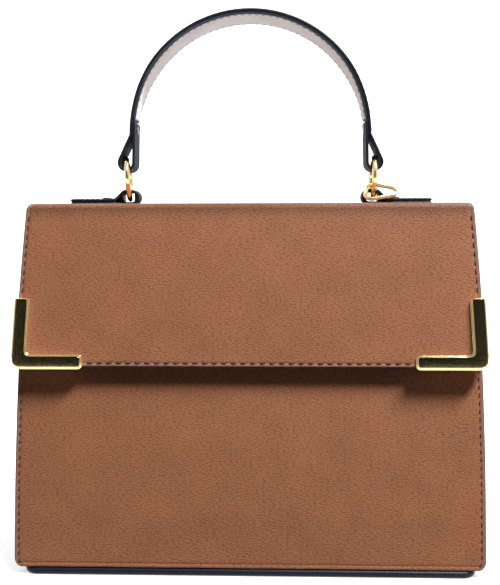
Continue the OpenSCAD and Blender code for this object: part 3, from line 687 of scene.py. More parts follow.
def woven(name, hexa_warp, hexa_weft, pitch, rough):
    """Plain weave: two crossed rows of threads that pass over and under, pitch in mm.

    The product of two sine waves is above nought where the warp is on top and below it where
    the weft is, and its size is the thread's round back."""
    material, tree = new_material(name)
    uv = add(tree, "ShaderNodeUVMap", uv_map="surface")
    parts = add(tree, "ShaderNodeSeparateXYZ", {0: (uv, 0)})
    rows = []
    for output in ("X", "Y"):
        turned = add(tree, "ShaderNodeMath", {0: (parts, output), 1: math.pi / (pitch * MM)},
                     operation="MULTIPLY")
        rows.append(add(tree, "ShaderNodeMath", {0: (turned, 0)}, operation="SINE"))
    crossing = add(tree, "ShaderNodeMath", {0: (rows[0], 0), 1: (rows[1], 0)},
                   operation="MULTIPLY")
    top = add(tree, "ShaderNodeMapRange", {"Value": (crossing, 0), "From Min": -0.25,
                                           "From Max": 0.25})
    relief = add(tree, "ShaderNodeMath", {0: (crossing, 0)}, operation="ABSOLUTE")
    slow = add(tree, "ShaderNodeTexNoise", {"Vector": (uv, 0), "Scale": 1 / (5 * MM),
                                            "Detail": 3.0})
    colour = add(tree, "ShaderNodeMix", {0: (top, 0), 6: linear(hexa_warp), 7: linear(hexa_weft)},
                 data_type="RGBA")
    tone = ramp(add(tree, "ShaderNodeValToRGB", {"Fac": (slow, "Fac")}),
                [(0.3, grey(0.92)), (0.7, grey(1.05))])
    toned = add(tree, "ShaderNodeMix", {0: 1.0, 6: (colour, 2), 7: (tone, "Color")},
                data_type="RGBA", blend_type="MULTIPLY")
    bump = add(tree, "ShaderNodeBump", {"Height": (relief, 0), "Distance": 0.12 * MM})
    finish_material(tree, {"Base Color": (toned, 2), "Roughness": rough, "Normal": (bump, 0),
                           "Sheen Weight": 0.2, "Sheen Roughness": 0.4})
    return material


# Pigmented split cowhide, embossed with long pebbles: lighter ridges over red-brown valleys
# and a soft sheen, with dark painted edges.
brown_hide = leather("pebbled_cowhide", ("#a97150", "#9f6848", "#8c593e"), "#2c1a18", 0.5,
                     grain=(1.9, 0.72), height=0.14, rough=0.5, specular=0.25, margin="#8d6c60")
# Smooth coated calf, almost black with a cold blue cast, fine grain, half glossy.
black_hide = leather("black_calf", ("#090b13", "#07090f", "#05060b"), "#0b101c", 0.8,
                     grain=(0.9, 0.8), height=0.05, rough=0.62, specular=0.2)
# Microsuede, almost white and a little cool, with dark painted edges.
pale_suede = suede("pale_microsuede", "#eff2f4", "#1b2230")
# Zinc castings plated pale gold and polished: near-mirror, with faint handling haze.
pale_gold = plain("polished_gold_plate", "#e9d49f", 0.13, metallic=1.0, height=0.002, grain=1.2,
                  tint=0.05)
# Blackened steel rivet heads: dark and softly bright.
black_metal = plain("blackened_steel", "#3b3c42", 0.3, metallic=1.0, tint=0.1)
# Grey fibreboard stiffener: dull, with a fine fibre.
fibreboard = plain("fibreboard", "#77736c", 0.9, height=0.05, grain=0.4)
# Waxed polyester thread: dark red-brown on the walls, black and grey on the handle.
brown_thread = plain("brown_waxed_thread", "#35130f", 0.7, height=0.03, grain=0.25)
black_thread = plain("black_waxed_thread", "#101217", 0.5, height=0.03, grain=0.25)
pale_thread = plain("grey_waxed_thread", "#bdbdbe", 0.6, height=0.03, grain=0.25)
# Plain woven cotton lining in a warm grey, threads drawn at 0.7 mm so that they show.
lining_cloth = woven("cotton_lining", "#a79d92", "#958b80", 0.7, 0.85)
lining_thread = plain("cotton_thread", "#857b70", 0.8, height=0.03, grain=0.25)
# The same cloth without its weave, for the CAD solids inside.
lining_plain = plain("lining_plain", "#a0968b", 0.9, height=0.05, grain=0.5)
# Polyester zip tape, close woven and darker.
tape_cloth = woven("zip_tape_weave", "#3c3434", "#332c2c", 0.5, 0.75)

# The sweep's ends in front and above, the line where it starts to bend, and the bend's radius.
PAPER_FRONT = -4000.0
PAPER_BACK = 1300.0
PAPER_BEND = 900.0
PAPER_TOP = 3500.0
PAPER_HALF_W = 5000.0


def studio_paper():
    """Floor and backdrop in one sweep: flat, then a quarter circle, then upright.

    Matt white paper that glows a little, and more so far away, so that it looks white from all
    sides. It throws no light on the bag, whose shadows stay dark."""
    material, tree = new_material("matt_studio_paper")
    coords = add(tree, "ShaderNodeTexCoord")
    fine = add(tree, "ShaderNodeTexNoise", {"Vector": (coords, "Object"), "Scale": 1 / (25 * MM)})
    tone = ramp(add(tree, "ShaderNodeValToRGB", {"Fac": (fine, "Fac")}),
                [(0.3, linear("#bcbcbd")), (0.7, linear("#c2c2c2"))])
    reach = add(tree, "ShaderNodeVectorMath", {0: (coords, "Object")}, operation="LENGTH")
    glow = add(tree, "ShaderNodeMapRange", {"Value": (reach, "Value"), "From Min": 0.9,
                                            "From Max": 2.6, "To Min": 0.62, "To Max": 1.0})
    finish_material(tree, {"Base Color": (tone, "Color"), "Roughness": 0.9,
                           "Emission Color": linear("#ffffff"), "Emission Strength": (glow, 0)})
    material.cycles.emission_sampling = "NONE"
    turn = np.linspace(0, math.pi / 2, 24)
    y = np.concatenate([[PAPER_FRONT], PAPER_BACK + PAPER_BEND * np.sin(turn),
                        [PAPER_BACK + PAPER_BEND]])
    z = np.concatenate([[0.0], PAPER_BEND * (1 - np.cos(turn)), [PAPER_TOP]])
    points = grid(np.linspace(-PAPER_HALF_W, PAPER_HALF_W, 5)[None, :], y[:, None], z[:, None])
    index = np.arange(points[..., 0].size).reshape(points.shape[:2])
    piece = mesh_piece("studio_paper", points.reshape(-1, 3), corners_of(index)[:, ::-1], material)
    piece.visible_diffuse = False
    return piece


studio_paper()


# Front wall
def front_skin():
    """The front wall with its board: a slab on the leaning plane, a little full in its lower
    half, its edges painted, its seam pulled in. Rows follow the height, columns the width."""
    z = (BASE_T + steps(WALL_TOP - BASE_T, EDGE_FINE, 3.5))[:, None]
    half = wall_half(z)
    x = ACROSS * half
    beside = np.minimum(half - np.abs(x), WALL_TOP - z)
    rim = np.maximum(np.minimum(beside, z - BASE_T), 0)
    e = round_edge(rim, WALL_EDGE, EDGE_POWER)
    uneven = UNEVEN * waves(x, z, (70, 46, 95), 2) * np.clip((rim - 2) / 14, 0, 1)
    dip = seam_dip(rim, SIDE_STITCH) * (z < WALL_TOP - 4)
    mid = WALL_T / 2
    outer = wall_point(x, z, mid - mid * e - swell(x, half, z, 135, 60) - uneven * 0.6 + dip)
    return slab("front_skin", outer, wall_point(x, z, mid + mid * e), brown_hide,
                grid(x, z), np.where(rim < 0.8, rim, beside))


def wall_seam(wall, side, top):
    """Stitches down both sides of a wall and round its lower corners."""
    turn = np.radians(np.linspace(0, 90, 10))[1:]
    r = CORNER_R - SIDE_STITCH
    down = np.linspace(top, BASE_T + CORNER_R, 60)
    x = np.concatenate([side_x(down) - SIDE_STITCH, HALF_W - CORNER_R + r * np.cos(turn)])
    z = np.concatenate([down, BASE_T + CORNER_R - r * np.sin(turn)])
    normal = (0, side * math.cos(LEAN), math.sin(LEAN))
    for sign, side_name in SIDES:
        place(stitches(f"{wall}_stitches_{side_name}",
                       wall_point(sign * x, z, STITCH_SINK, side), normal, *WALL_SEAM,
                       brown_thread), "bag", "brown_leather")


place(front_skin(), "bag", "brown_leather", "front_panel", "front_board")
wall_seam("front", -1, WALL_TOP - 3)


# Lid and flap
def lid_flap_skin():
    """The lid and the flap in one: a slab along a line from the rear of the lid over the front
    crease and down the flap, as wide as the bag at each height. Its lower corners are round.
    The painted shade, a dark brown that stands in for shade on the crease's bright line, is
    strongest at the crease and fades as a bell to both sides."""
    flat = steps(LID_REAR - FRONT_HINGE_Y, [0, 0.3, 0.8, 1.5, 2.3, 3.2, 4.5], 4.0)
    turn = np.radians(np.linspace(90, 180 - math.degrees(FLAP_LEAN), 12))[1:]
    drop = np.concatenate([np.arange(2.5, FLAP_DROP - 8, 2.5),
                           FLAP_DROP - np.array(EDGE_FINE[::-1])])
    s, c, r = math.sin(FLAP_LEAN), math.cos(FLAP_LEAN), STACK_T / 2
    line = np.concatenate([
        grid(LID_REAR - flat, HINGE_Z + r),
        grid(FRONT_HINGE_Y + r * np.cos(turn), HINGE_Z + r * np.sin(turn)),
        grid(FRONT_HINGE_Y - r * c - drop * s, HINGE_Z + r * s - drop * c)])
    normal = np.concatenate([grid(0 * flat, 1), grid(np.cos(turn), np.sin(turn)),
                             grid(0 * drop - c, s)])
    run = running(*line.T)[:, None]
    bent = np.concatenate([0 * flat, 0 * turn + 1, 0 * drop])[:, None]
    from_low = np.concatenate([0 * flat, 0 * turn, -drop])[:, None] + FLAP_DROP
    on_flap = np.concatenate([0 * flat, np.linspace(0, 1, len(turn)), 0 * drop + 1])[:, None]
    y, z = line[:, :1], line[:, 1:]
    low_z = np.where(on_flap > 0.5, z, HINGE_Z)
    half = side_x(np.minimum(low_z, HINGE_Z)) - LID_INSET * (1 - on_flap)
    x = ACROSS * half
    rim = np.maximum(np.minimum(half - np.abs(x), np.minimum(run, from_low)), 0)
    e = round_edge(rim, LID_EDGE, EDGE_POWER)
    down = np.clip((1 - from_low / FLAP_DROP) * 1.05, 0, 1)
    full = 0.7 * (1 - (x / half) ** 2) * np.sin(math.pi * down) * on_flap
    uneven = UNEVEN * waves(x, run, (64, 90, 41), 11) * np.clip((rim - 3) / 14, 0, 1)
    uneven = uneven * np.clip(np.abs(run - (LID_REAR - FRONT_HINGE_Y)) / 12, 0, 1)
    up = r * e + full + uneven - seam_dip(rim, FLAP_STITCH)
    a = FLAP_CORNER_R - from_low
    b = np.abs(x) - (half - FLAP_CORNER_R)
    inward = drawn_in(a, b)
    round_line = grid(y + s * a * inward, z + c * a * inward)
    piece = swept("lid_flap_skin", x - np.sign(x) * b * inward, round_line, normal, up,
                  (r - 0.4 * bent) * e, -run, rim)
    past = np.abs(run - run[bent > 0].mean()) + 0 * x
    # Painted shade along the front crease: a bell that is strongest on the crease, which the
    # leather reads as a dark brown.
    burnish = np.zeros(len(piece.data.vertices), np.float32)
    burnish[:x.size] = (CREASE_SHADE_STRENGTH * np.exp(-(past / CREASE_SHADE_WIDTH) ** 2)).ravel()
    layer = piece.data.attributes.new("burnish", "FLOAT", "POINT")
    layer.data.foreach_set("value", burnish)
    return piece


lid_flap = place(lid_flap_skin(), None, "brown_leather", "lid_panel", "lid_board", "lid_lining",
                 "flap_panel", "flap_board", "flap_lining")
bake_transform(lid_flap)

# Stitches down the flap's sides to its fittings, and along its lower edge between them.
down = np.linspace(HINGE_Z - 3, FLAP_LOW + FIT_ARM + 1.5, 60)
reach = side_x(FLAP_LOW) - FIT_ARM - 1.5
flap_rows = [(f"flap_side_stitches_{side_name}", sign * (side_x(down) - FLAP_STITCH),
              (down - HINGE_Z) / math.cos(FLAP_LEAN), FLAP_SIDE_SEAM)
             for sign, side_name in SIDES]
flap_rows.append(("flap_low_stitches", np.linspace(-reach, reach, 80), FLAP_STITCH - FLAP_DROP,
                  FLAP_LOW_SEAM))
for name, x, up, seam in flap_rows:
    place(stitches(name, flap_point(x, up, STACK_T - STITCH_SINK),
                   (0, -math.cos(FLAP_LEAN), math.sin(FLAP_LEAN)), *seam, brown_thread),
          "flap", "brown_leather")


# Back
def back_skin():
    """The back wall and its turn over the rear crease on to the lid, in one slab that thins
    from the wall with its board to the leather alone."""
    rise = BASE_T + steps(HINGE_Z - BASE_T - 1.5, EDGE_FINE, 3.5)[:-8]
    r = STACK_T - LEATHER_T / 2
    turn = np.radians(np.linspace(math.degrees(LEAN) + 4, 90, 16))
    lap = np.linspace(0, REAR_HINGE_Y - LID_REAR + 4, 8)[1:]
    line = np.concatenate([
        wall_point(0, rise, WALL_T / 2, 1)[:, 1:],
        grid(REAR_HINGE_Y + r * np.cos(turn), HINGE_Z + r * np.sin(turn)),
        grid(REAR_HINGE_Y - lap, HINGE_Z + r)])
    normal = np.concatenate([grid(0 * rise + math.cos(LEAN), math.sin(LEAN)),
                             grid(np.cos(turn), np.sin(turn)), grid(0 * lap, 1)])
    thick = np.concatenate([np.full(len(rise) - 3, WALL_T), np.linspace(WALL_T, LEATHER_T, 6),
                            np.full(len(turn) + len(lap) - 3, LEATHER_T)])[:, None]
    run = running(*line.T)[:, None]
    y, z = line[:, :1], line[:, 1:]
    height = np.minimum(np.maximum(z, BASE_T), HINGE_Z)
    half = np.where(run < 20, wall_half(height), side_x(height))
    half = half - LID_INSET * np.clip((REAR_HINGE_Y + r - y) / 4, 0, 1) * (z > HINGE_Z)
    x = ACROSS * half
    rim = np.maximum(np.minimum(half - np.abs(x), np.minimum(run, run[-1] - run)), 0)
    e = round_edge(rim, BACK_EDGE, EDGE_POWER)
    uneven = 0.25 * waves(x, run, (70, 50, 95), 21) * np.clip((rim - 2) / 14, 0, 1)
    uneven = uneven * np.clip((190 - z) / 20, 0, 1)
    up = thick / 2 * e + swell(x, half, z, 150, 70) + uneven - seam_dip(rim, SIDE_STITCH, 0.2)
    return swept("back_skin", x, line[:, None], normal, up, thick / 2 * e, run, rim)


back = place(back_skin(), None, "brown_leather", "back_panel", "back_board")
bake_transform(back)
wall_seam("back", 1, WALL_TOP - 6)


# Gussets and base
def outline_right():
    """Right half of the bag's outline from under the corner up: x, z and its inward normal."""
    turn = np.radians(np.linspace(-90, 0, 12))
    rise = np.concatenate([np.arange(BASE_T + CORNER_R + 4, WALL_TOP - 3, 4),
                           WALL_TOP - np.array([2, 1, 0.4, 0])])
    x = np.concatenate([HALF_W - CORNER_R + CORNER_R * np.cos(turn), side_x(rise)])
    z = np.concatenate([BASE_T + CORNER_R + CORNER_R * np.sin(turn), rise])
    return (x, z) + side_normal(x, z)


def gusset(name, sign):
    """A black side: a sheet along the outline, folded in along its middle more and more towards
    the mouth, with a soft round fold and slack ripples beside it."""
    line = outline_right()
    x, z, nx, nz = (v[:, None] for v in line)
    edge = np.array([0, 0.004, 0.012, 0.024, 0.045, 0.07, 0.1])
    share = np.concatenate([-1 + edge, np.linspace(-0.86, 0.86, 31), 1 - edge[::-1]])[None]
    reach = FOOT_Y - (z - BASE_T) * WALL_SLOPE - LEATHER_T / math.cos(LEAN) - 0.05
    y = share * reach
    a = np.abs(share)
    slack = 0.5 * waves(y, z, (34, 60, 23), 31 + sign) * np.clip((1 - a) * 4, 0, 1)
    slack = slack * np.clip((z - 14) / 30, 0, 1) * np.clip((WALL_TOP - z) / 10, 0.3, 1)
    run = running(*line[:2])[:, None]
    rim = np.maximum(np.minimum(reach * (1 - a), np.minimum(run, run[-1] - run)), 0)
    mid = GUSSET_T / 2
    out = mid * round_edge(rim, GUSSET_EDGE, 2.2)
    here_x = x + nx * mid - fold_in(z, a) - np.abs(slack) * 0.9
    here_z = z + nz * mid
    return slab(name, grid(sign * (here_x - nx * out), y, here_z - nz * out),
                grid(sign * (here_x + nx * out), y, here_z + nz * out), black_hide,
                grid(y, run), rim)


for sign, side_name in SIDES:
    place(gusset(f"gusset_leather_{side_name}", sign), "bag", "black_leather",
          f"gusset_{side_name}")


def base_wrap():
    """The base: a flat leather pad with a full round edge and round corners in plan.

    Rings go from the middle of the underside out, round the edge, and back over the top. Each
    ring is a rounded rectangle."""
    rim = BASE_T / 2
    turn = np.radians(np.linspace(-90, 90, 15))
    inset = np.concatenate([[40.0, 14.0], rim - rim * np.cos(turn), [14.0, 40.0]])[:, None]
    level = np.concatenate([[0.0, 0.0], rim + rim * np.sin(turn), [BASE_T, BASE_T]])[:, None]
    corner = np.maximum(BASE_CORNER_R - inset, 0.5)
    rings = []
    for k, (sx, sy) in enumerate(((1, 1), (-1, 1), (-1, -1), (1, -1))):
        a = np.radians(np.linspace(0, 90, 10)) + k * math.pi / 2
        rings.append(grid((HALF_W - CORNER_R - inset - corner) * sx + corner * np.cos(a),
                          (BASE_D / 2 - inset - corner) * sy + corner * np.sin(a), level))
    rings = np.concatenate(rings, axis=1)
    return tube("base_leather", rings, black_hide, uv=rings[..., :2].reshape(-1, 2))


place(base_wrap(), "bag", "black_leather", "base_panel")


# Handle
def strap_half(z, margin=0.0):
    """Half the handle's width at a height: narrow at the rings, full over the arch."""
    share = smooth(np.clip((z - TAPER_LOW) / (TAPER_HIGH - TAPER_LOW), 0, 1))
    return STRAP_END_W / 2 + (STRAP_W - STRAP_END_W) / 2 * share - margin


def strip(name, path_x, path_z, half, thick, material, facing=1, edge=STRAP_EDGE,
          seam=None):
    """A strap: a slab along a path in the XZ plane, half its width to each side of Y nought.

    Its face, which a seam pulls in, is on the left of the path, or with facing -1 on its
    right."""
    fine = np.array([0, 0.015, 0.05, 0.1, 0.16, 0.22, 0.3, 0.45, 0.7])
    across = np.concatenate([-1 + fine, [-0.1, 0.1], 1 - fine[::-1]])
    half, run = half[:, None], running(path_x, path_z)[:, None]
    y = across * half
    rim = np.minimum(half * (1 - np.abs(across)), np.minimum(run, run[-1] - run))
    rim = np.maximum(rim, 0)
    low = thick / 2 * round_edge(rim, edge, EDGE_POWER)
    top = low - seam_dip(rim, seam, 0.18, 0.5) if seam else low
    x, z = path_x[:, None], path_z[:, None]
    nx, nz = (facing * v[:, None] for v in side_normal(path_x, path_z))
    return slab(name, grid(x + nx * top, y, z + nz * top), grid(x - nx * low, y, z - nz * low),
                material, grid(y, run), rim)


def strap_path():
    """Middle line of the strap from its end inside the left leg, round the left ring, over the
    arch, round the right ring and up inside the right leg."""
    inner_r, outer_r, turn_r = ARCH_R - 1.5 * STRAP_T, ARCH_R - STRAP_T / 2, LOOP_R - STRAP_T / 2
    back_turn = np.radians(np.linspace(RETURN_ANGLE, 0, 8))
    back_x, back_z = inner_r * np.cos(back_turn), ARCH_Z + inner_r * np.sin(back_turn)
    # The leg leaves the arch and touches the loop on its outer side.
    leg = (outer_r - RING_X, ARCH_Z - LOOP_Z)
    touch = math.atan2(leg[1], leg[0]) - math.acos(turn_r / math.hypot(*leg))
    around = np.linspace(-math.pi, touch, 34)
    loop_x, loop_z = RING_X + turn_r * np.cos(around), LOOP_Z + turn_r * np.sin(around)
    ease = np.linspace(0, 1, 9)[1:-1]
    right_x = np.concatenate([back_x, back_x[-1] + (loop_x[0] - back_x[-1]) * ease, loop_x,
                              loop_x[-1] + (outer_r - loop_x[-1]) * ease])
    right_z = np.concatenate([back_z, back_z[-1] + (loop_z[0] - back_z[-1]) * ease, loop_z,
                              loop_z[-1] + (ARCH_Z - loop_z[-1]) * ease])
    over = np.radians(np.linspace(0, 180, 121))
    x = np.concatenate([right_x, outer_r * np.cos(over), -right_x[::-1]])
    z = np.concatenate([right_z, ARCH_Z + outer_r * np.sin(over), right_z[::-1]])
    return x[::-1], z[::-1]


path_x, path_z = strap_path()
place(strip("handle_leather", path_x, path_z, strap_half(path_z), STRAP_T, black_hide,
            seam=STRAP_STITCH), "handle", "black_leather", "handle_strap")
turn = np.radians(np.linspace(RETURN_ANGLE + 0.4, 180 - RETURN_ANGLE - 0.4, 121))
grip_r = ARCH_R - STRAP_T - GRIP_T / 2
path_x, path_z = grip_r * np.cos(turn), ARCH_Z + grip_r * np.sin(turn)
grip = place(strip("handle_suede", path_x, path_z, strap_half(path_z, GRIP_MARGIN), GRIP_T,
                   pale_suede, facing=-1, seam=GRIP_STITCH),
             "handle", "grey_leather", "handle_grip")
# A white card low in front throws light up under the arch, and only on the pale suede.
card = area_light("reflector_card", (0.0, -0.75, 0.06), (0, 0, 0.3), (0.8, 0.3), 4.5,
                  linear("#dcebf6")[:3])
card_lit = bpy.data.collections.new("card_lit")
card_lit.objects.link(grip)
card.light_linking.receiver_collection = card_lit

turn = np.radians(np.linspace(9, 171, 160))
out = grid(np.cos(turn), 0.0, np.sin(turn))
half = strap_half(ARCH_Z + ARCH_R * np.sin(turn))
for sign, side_name in ((-1, "front"), (1, "back")):
    for row, r, inset, facing, thread, slot_name in (
            ("handle", ARCH_R, STRAP_STITCH, 1, black_thread, "black_leather"),
            ("grip", ARCH_R - STRAP_T - GRIP_T, GRIP_MARGIN + GRIP_STITCH, -1, pale_thread,
             "grey_leather")):
        r = r - 0.1 * facing
        path = grid(r * np.cos(turn), sign * (half - inset), ARCH_Z + r * np.sin(turn))
        place(stitches(f"{row}_stitches_{side_name}", path, facing * out, *HANDLE_SEAM, thread),
              "handle", slot_name)


def ring(name, at, turn, lean):
    """A round wire bent to a ring: a circle carried round a circle. It hangs a little turned
    about the upright and leaning in its own plane's line, as loose rings do."""
    big = 2 * math.pi * np.arange(96)[:, None] / 96
    small = 2 * math.pi * np.arange(20) / 20
    r = RING_R + WIRE_R * np.cos(small)
    rings = grid(WIRE_R * np.sin(small), r * np.sin(big), r * np.cos(big))
    hang = (Matrix.Rotation(math.radians(turn), 3, "Z")
            @ Matrix.Rotation(math.radians(lean), 3, "Y"))
    return tube(name, rings @ np.array(hang).T + np.array(at), pale_gold, closed=True)


for (sign, side_name), (turn, lean) in zip(SIDES, RING_HANG):
    place(ring(f"gold_ring_{side_name}", (sign * RING_X, 0, RING_Z), turn, lean),
          f"ring_{side_name}", "gold", f"ring_{side_name}")


# Tabs and rivets
def tab(name, sign):
    """A strap folded round the ring: along the lid, round the nose, down the slope, and back.

    Its half width follows the path: narrow in the loop, full where it is fastened."""
    half_t = TAB_T / 2
    nose_r = TAB_LOOP_H / 2 - half_t
    nose_mid = BODY_H + TAB_LOOP_H / 2
    nose_top = BODY_H + TAB_LOOP_H - half_t
    foot_x = TAB_FOOT_X + 1.0
    turn = np.radians(np.linspace(-90, -270, 22))[1:]
    fall = np.linspace(0, 1, 14)[1:]
    slope_x = TAB_PEAK_X + (foot_x - TAB_PEAK_X) * fall
    slope_z = nose_top - (TAB_LOOP_H - 2 * TAB_T) * (0.45 * smooth(fall) + 0.55 * fall)
    x = np.concatenate([np.linspace(TAB_OUT, TAB_NOSE_X, 24), TAB_NOSE_X + nose_r * np.cos(turn),
                        np.linspace(TAB_NOSE_X, TAB_PEAK_X, 4)[1:], slope_x,
                        np.linspace(foot_x, TAB_OUT, 24)[1:]])
    z = np.concatenate([np.full(24, BODY_H + half_t), nose_mid + nose_r * np.sin(turn),
                        np.full(3, nose_top), slope_z, np.full(23, BODY_H + 1.5 * TAB_T)])
    wide = smooth(np.clip((x - (TAB_FOOT_X - 3)) / 4, 0, 1))
    to_end = np.clip(TAB_CORNER_R - (TAB_OUT - x), 0, TAB_CORNER_R)
    half = (TAB_LOOP_W + (TAB_W - TAB_LOOP_W) * wide) / 2 - TAB_CORNER_R
    half = half + np.sqrt(TAB_CORNER_R ** 2 - to_end ** 2)
    parts = [strip(name, sign * x, z, half, TAB_T, black_hide, facing=-sign, edge=TAB_EDGE)]
    # Glued up inside: a wedge under the slope, and a crescent inside the nose.
    across = np.linspace(-1, 1, 5)[::sign, None] * (TAB_LOOP_W / 2 - 0.5)
    wedge_x = np.linspace(TAB_PEAK_X + 0.9, TAB_FOOT_X + 0.4, 12)
    nose_up = np.linspace(-0.9, 0.9, 11) * (nose_r - half_t)
    nose_in = TAB_NOSE_X - np.sqrt(nose_r ** 2 - nose_up ** 2) + 0.2
    bow = 1.55 * np.sqrt(np.maximum(0, 1 - (nose_up / nose_up[-1]) ** 2)) + 0.25
    for part, low_x, low_z, high_x, high_z in (
            ("wedge", wedge_x, 0 * wedge_x + BODY_H + TAB_T - 0.2, wedge_x,
             np.interp(wedge_x, slope_x, slope_z) - 0.2),
            ("crescent", nose_in, nose_mid + nose_up, nose_in + bow, nose_mid + nose_up)):
        rings = grid(sign * np.concatenate([low_x, high_x[::-1]]), across,
                     np.concatenate([low_z, high_z[::-1]]))
        x, y, z = rings.reshape(-1, 3).T
        parts.append(tube(part, rings, black_hide, uv=grid(y, x + z)))
    return join(name, parts)


def dome(name, at, aside, out, height):
    """A rivet's head: a low dome with a rolled rim, turned round its axis. It stands towards
    out, and its foot lies along aside and Y."""
    t = np.linspace(0, math.pi / 2, 9)[1:-1]
    radius = HEAD_R * np.concatenate([[1.0, 1.0, 0.97], np.cos(t), [0.02]])
    level = height * np.concatenate([[0.0, 0.18, 0.32], 0.32 + 0.68 * np.sin(t), [1.0]])
    turn = 2 * math.pi * np.arange(24)[:, None] / 24
    circle = np.cos(turn) * aside + np.sin(turn) * np.array([0, 1, 0])
    rings = np.asarray(at) + radius[:, None, None] * circle + level[:, None, None] * out
    return tube(name, rings, black_metal)


# The seam runs out along the tab's front edge, across its end and back.
seam_x = np.array([TAB_FOOT_X + 3, TAB_OUT - 4.2, TAB_OUT - 2.6, TAB_OUT - 2.2])
seam_y = TAB_W / 2 - np.array([2.2, 2.2, 3.2, 4.6])
seam_x = np.concatenate([seam_x, seam_x[::-1]])
seam_y = np.concatenate([-seam_y, seam_y[::-1]])
for sign, side_name in SIDES:
    place(tab(f"tab_leather_{side_name}", sign), "lid", "black_leather", f"tab_{side_name}")
    place(stitches(f"tab_stitches_{side_name}", grid(sign * seam_x, seam_y, TAB_TOP - 0.14),
                   (0, 0, 1), *TAB_SEAM, black_thread), "lid", "black_leather")

heads = [dome(f"tab_rivet_{k}", (sx * TAB_RIVET_X, sy * TAB_RIVET_Y, TAB_TOP),
              np.array([1, 0, 0]), np.array([0, 0, 1]), HEAD_H)
         for k, (sx, sy) in enumerate([(-1, -1), (-1, 1), (1, -1), (1, 1)])]
place(join("tab_rivet_heads", heads), "lid", "dark_metal", "tab_rivets")

# Rivet heads outside and flat tails inside each end of the handle.
heads = []
angle = math.radians(0.4 * RETURN_ANGLE)
for sign in (-1, 1):
    out = np.array([sign * math.cos(angle), 0, math.sin(angle)])
    aside = np.array([-sign * math.sin(angle), 0, math.cos(angle)])
    for part, r, facing, height in (("rivet", ARCH_R + 0.06, 1, HEAD_H),
                                    ("tail", ARCH_R - 2 * STRAP_T - 0.06, -1, TAIL_H)):
        heads.append(dome(f"handle_{part}_{sign}", np.array([0, 0, ARCH_Z]) + out * r, aside,
                          facing * out, height))
place(join("handle_rivet_heads", heads), "handle", "dark_metal", "handle_rivets")


# Corner fittings
def rounded(points, centre, u, v, reach=math.inf):
    """Draws squares round a corner's centre, past it along u and v, into circles. Beyond the
    reach this fades out over FIT_FADE."""
    q = points - centre
    a, b = q @ u, q @ v
    near = smooth(np.clip((reach - np.maximum(a, b)) / FIT_FADE + 1, 0, 1))
    return points - q * (drawn_in(a, b) * near)[..., None]


def corner_fitting(name, sign):
    """A cast corner: two arms of one profile that meet in a mitre at the flap's corner.

    A point is given by its place along an arm and its share across it, from the inner edge to
    the outer. The height depends on the distance to the nearest edge: a bevelled flange, a
    groove, steep shoulders and a nearly flat back. Square corners are rounded by drawing each
    square round a corner's centre into a circle. Outside, a skirt covers the flap's edge."""
    half = FIT_W / 2
    tilt = math.atan((side_x(FLAP_LOW) - side_x(FLAP_LOW + FIT_ARM)) / FIT_ARM)
    low_n, side_n = np.array([0.0, -1.0]), np.array([math.cos(tilt), math.sin(tilt)])
    low_dir, side_dir = np.array([-1.0, 0.0]), np.array([-math.sin(tilt), math.cos(tilt)])
    middle = np.array([-FIT_MID * (1 + math.sin(tilt)) / math.cos(tilt), FIT_MID])
    mitre = (low_n + side_n) / (1 + low_n @ side_n) * half
    share = np.concatenate([-1 + FIT_D / half, (1 - FIT_D / half)[::-1][1:]])
    outer = share > 0
    d_side = half * (1 - np.abs(share))

    def arm(outward, normal, fine, outer_rise, radius, capped):
        """Points and heights of one arm from its end, with round corners, to the mitre. A capped
        arm has the profile of its sides at its end too."""
        length = FIT_ARM - outward @ middle
        along = np.concatenate([fine, np.linspace(fine[-1], length, 12)[1:]])[:, None]
        end = middle + outward * length
        start = end + share[:, None] * normal * half
        stop = middle + share[:, None] * mitre
        points = start + (stop - start) * along[..., None] / length
        d = np.minimum(d_side, along) if capped else d_side + 0 * along
        rise = np.where(outer, np.interp(d, FIT_D, outer_rise), np.interp(d, FIT_D, FIT_FLANGE))
        if not capped:
            rise = rise * round_edge(along, 0.35)
        for turn in (-1, 1):
            points = rounded(points, end - outward * radius + turn * normal * (half - radius),
                             outward, turn * normal)
        return points, rise

    low_points, low_rise = arm(low_dir, low_n, FIT_D, FIT_FLANGE, FIT_LOW_END_R, capped=True)
    side_points, side_rise = arm(side_dir, side_n, FIT_FINE, FIT_PLAIN, FIT_SIDE_END_R,
                                 capped=False)
    points = np.concatenate([low_points, side_points[::-1][1:]])
    rise = np.concatenate([low_rise, side_rise[::-1][1:]])
    # The inner corner is rounded from beyond it, and the outer corner from inside.
    points = rounded(points, middle - mitre * (1 + FIT_INNER_R / half), low_n, side_n,
                     FIT_INNER_R)
    points = rounded(points, middle + mitre * (1 - FIT_CORNER_R / half), low_n, side_n)
    x = sign * (side_x(FLAP_LOW) + points[..., 0])
    up = points[..., 1] - FLAP_DROP
    under = np.where(outer & (d_side <= SKIRT), SKIRT_LOW, STACK_T - 0.05)
    out = np.broadcast_to(np.where(outer, SKIRT_LOW, STACK_T - 0.05), x.shape).copy()
    out[1:-1, 1:-1] = STACK_T + rise[1:-1, 1:-1]
    return slab(name, flap_point(x, up, out), flap_point(x, up, under), pale_gold)


for sign, side_name in SIDES:
    place(corner_fitting(f"gold_corner_{side_name}", sign), "flap", "gold",
          f"corner_fitting_{side_name}")


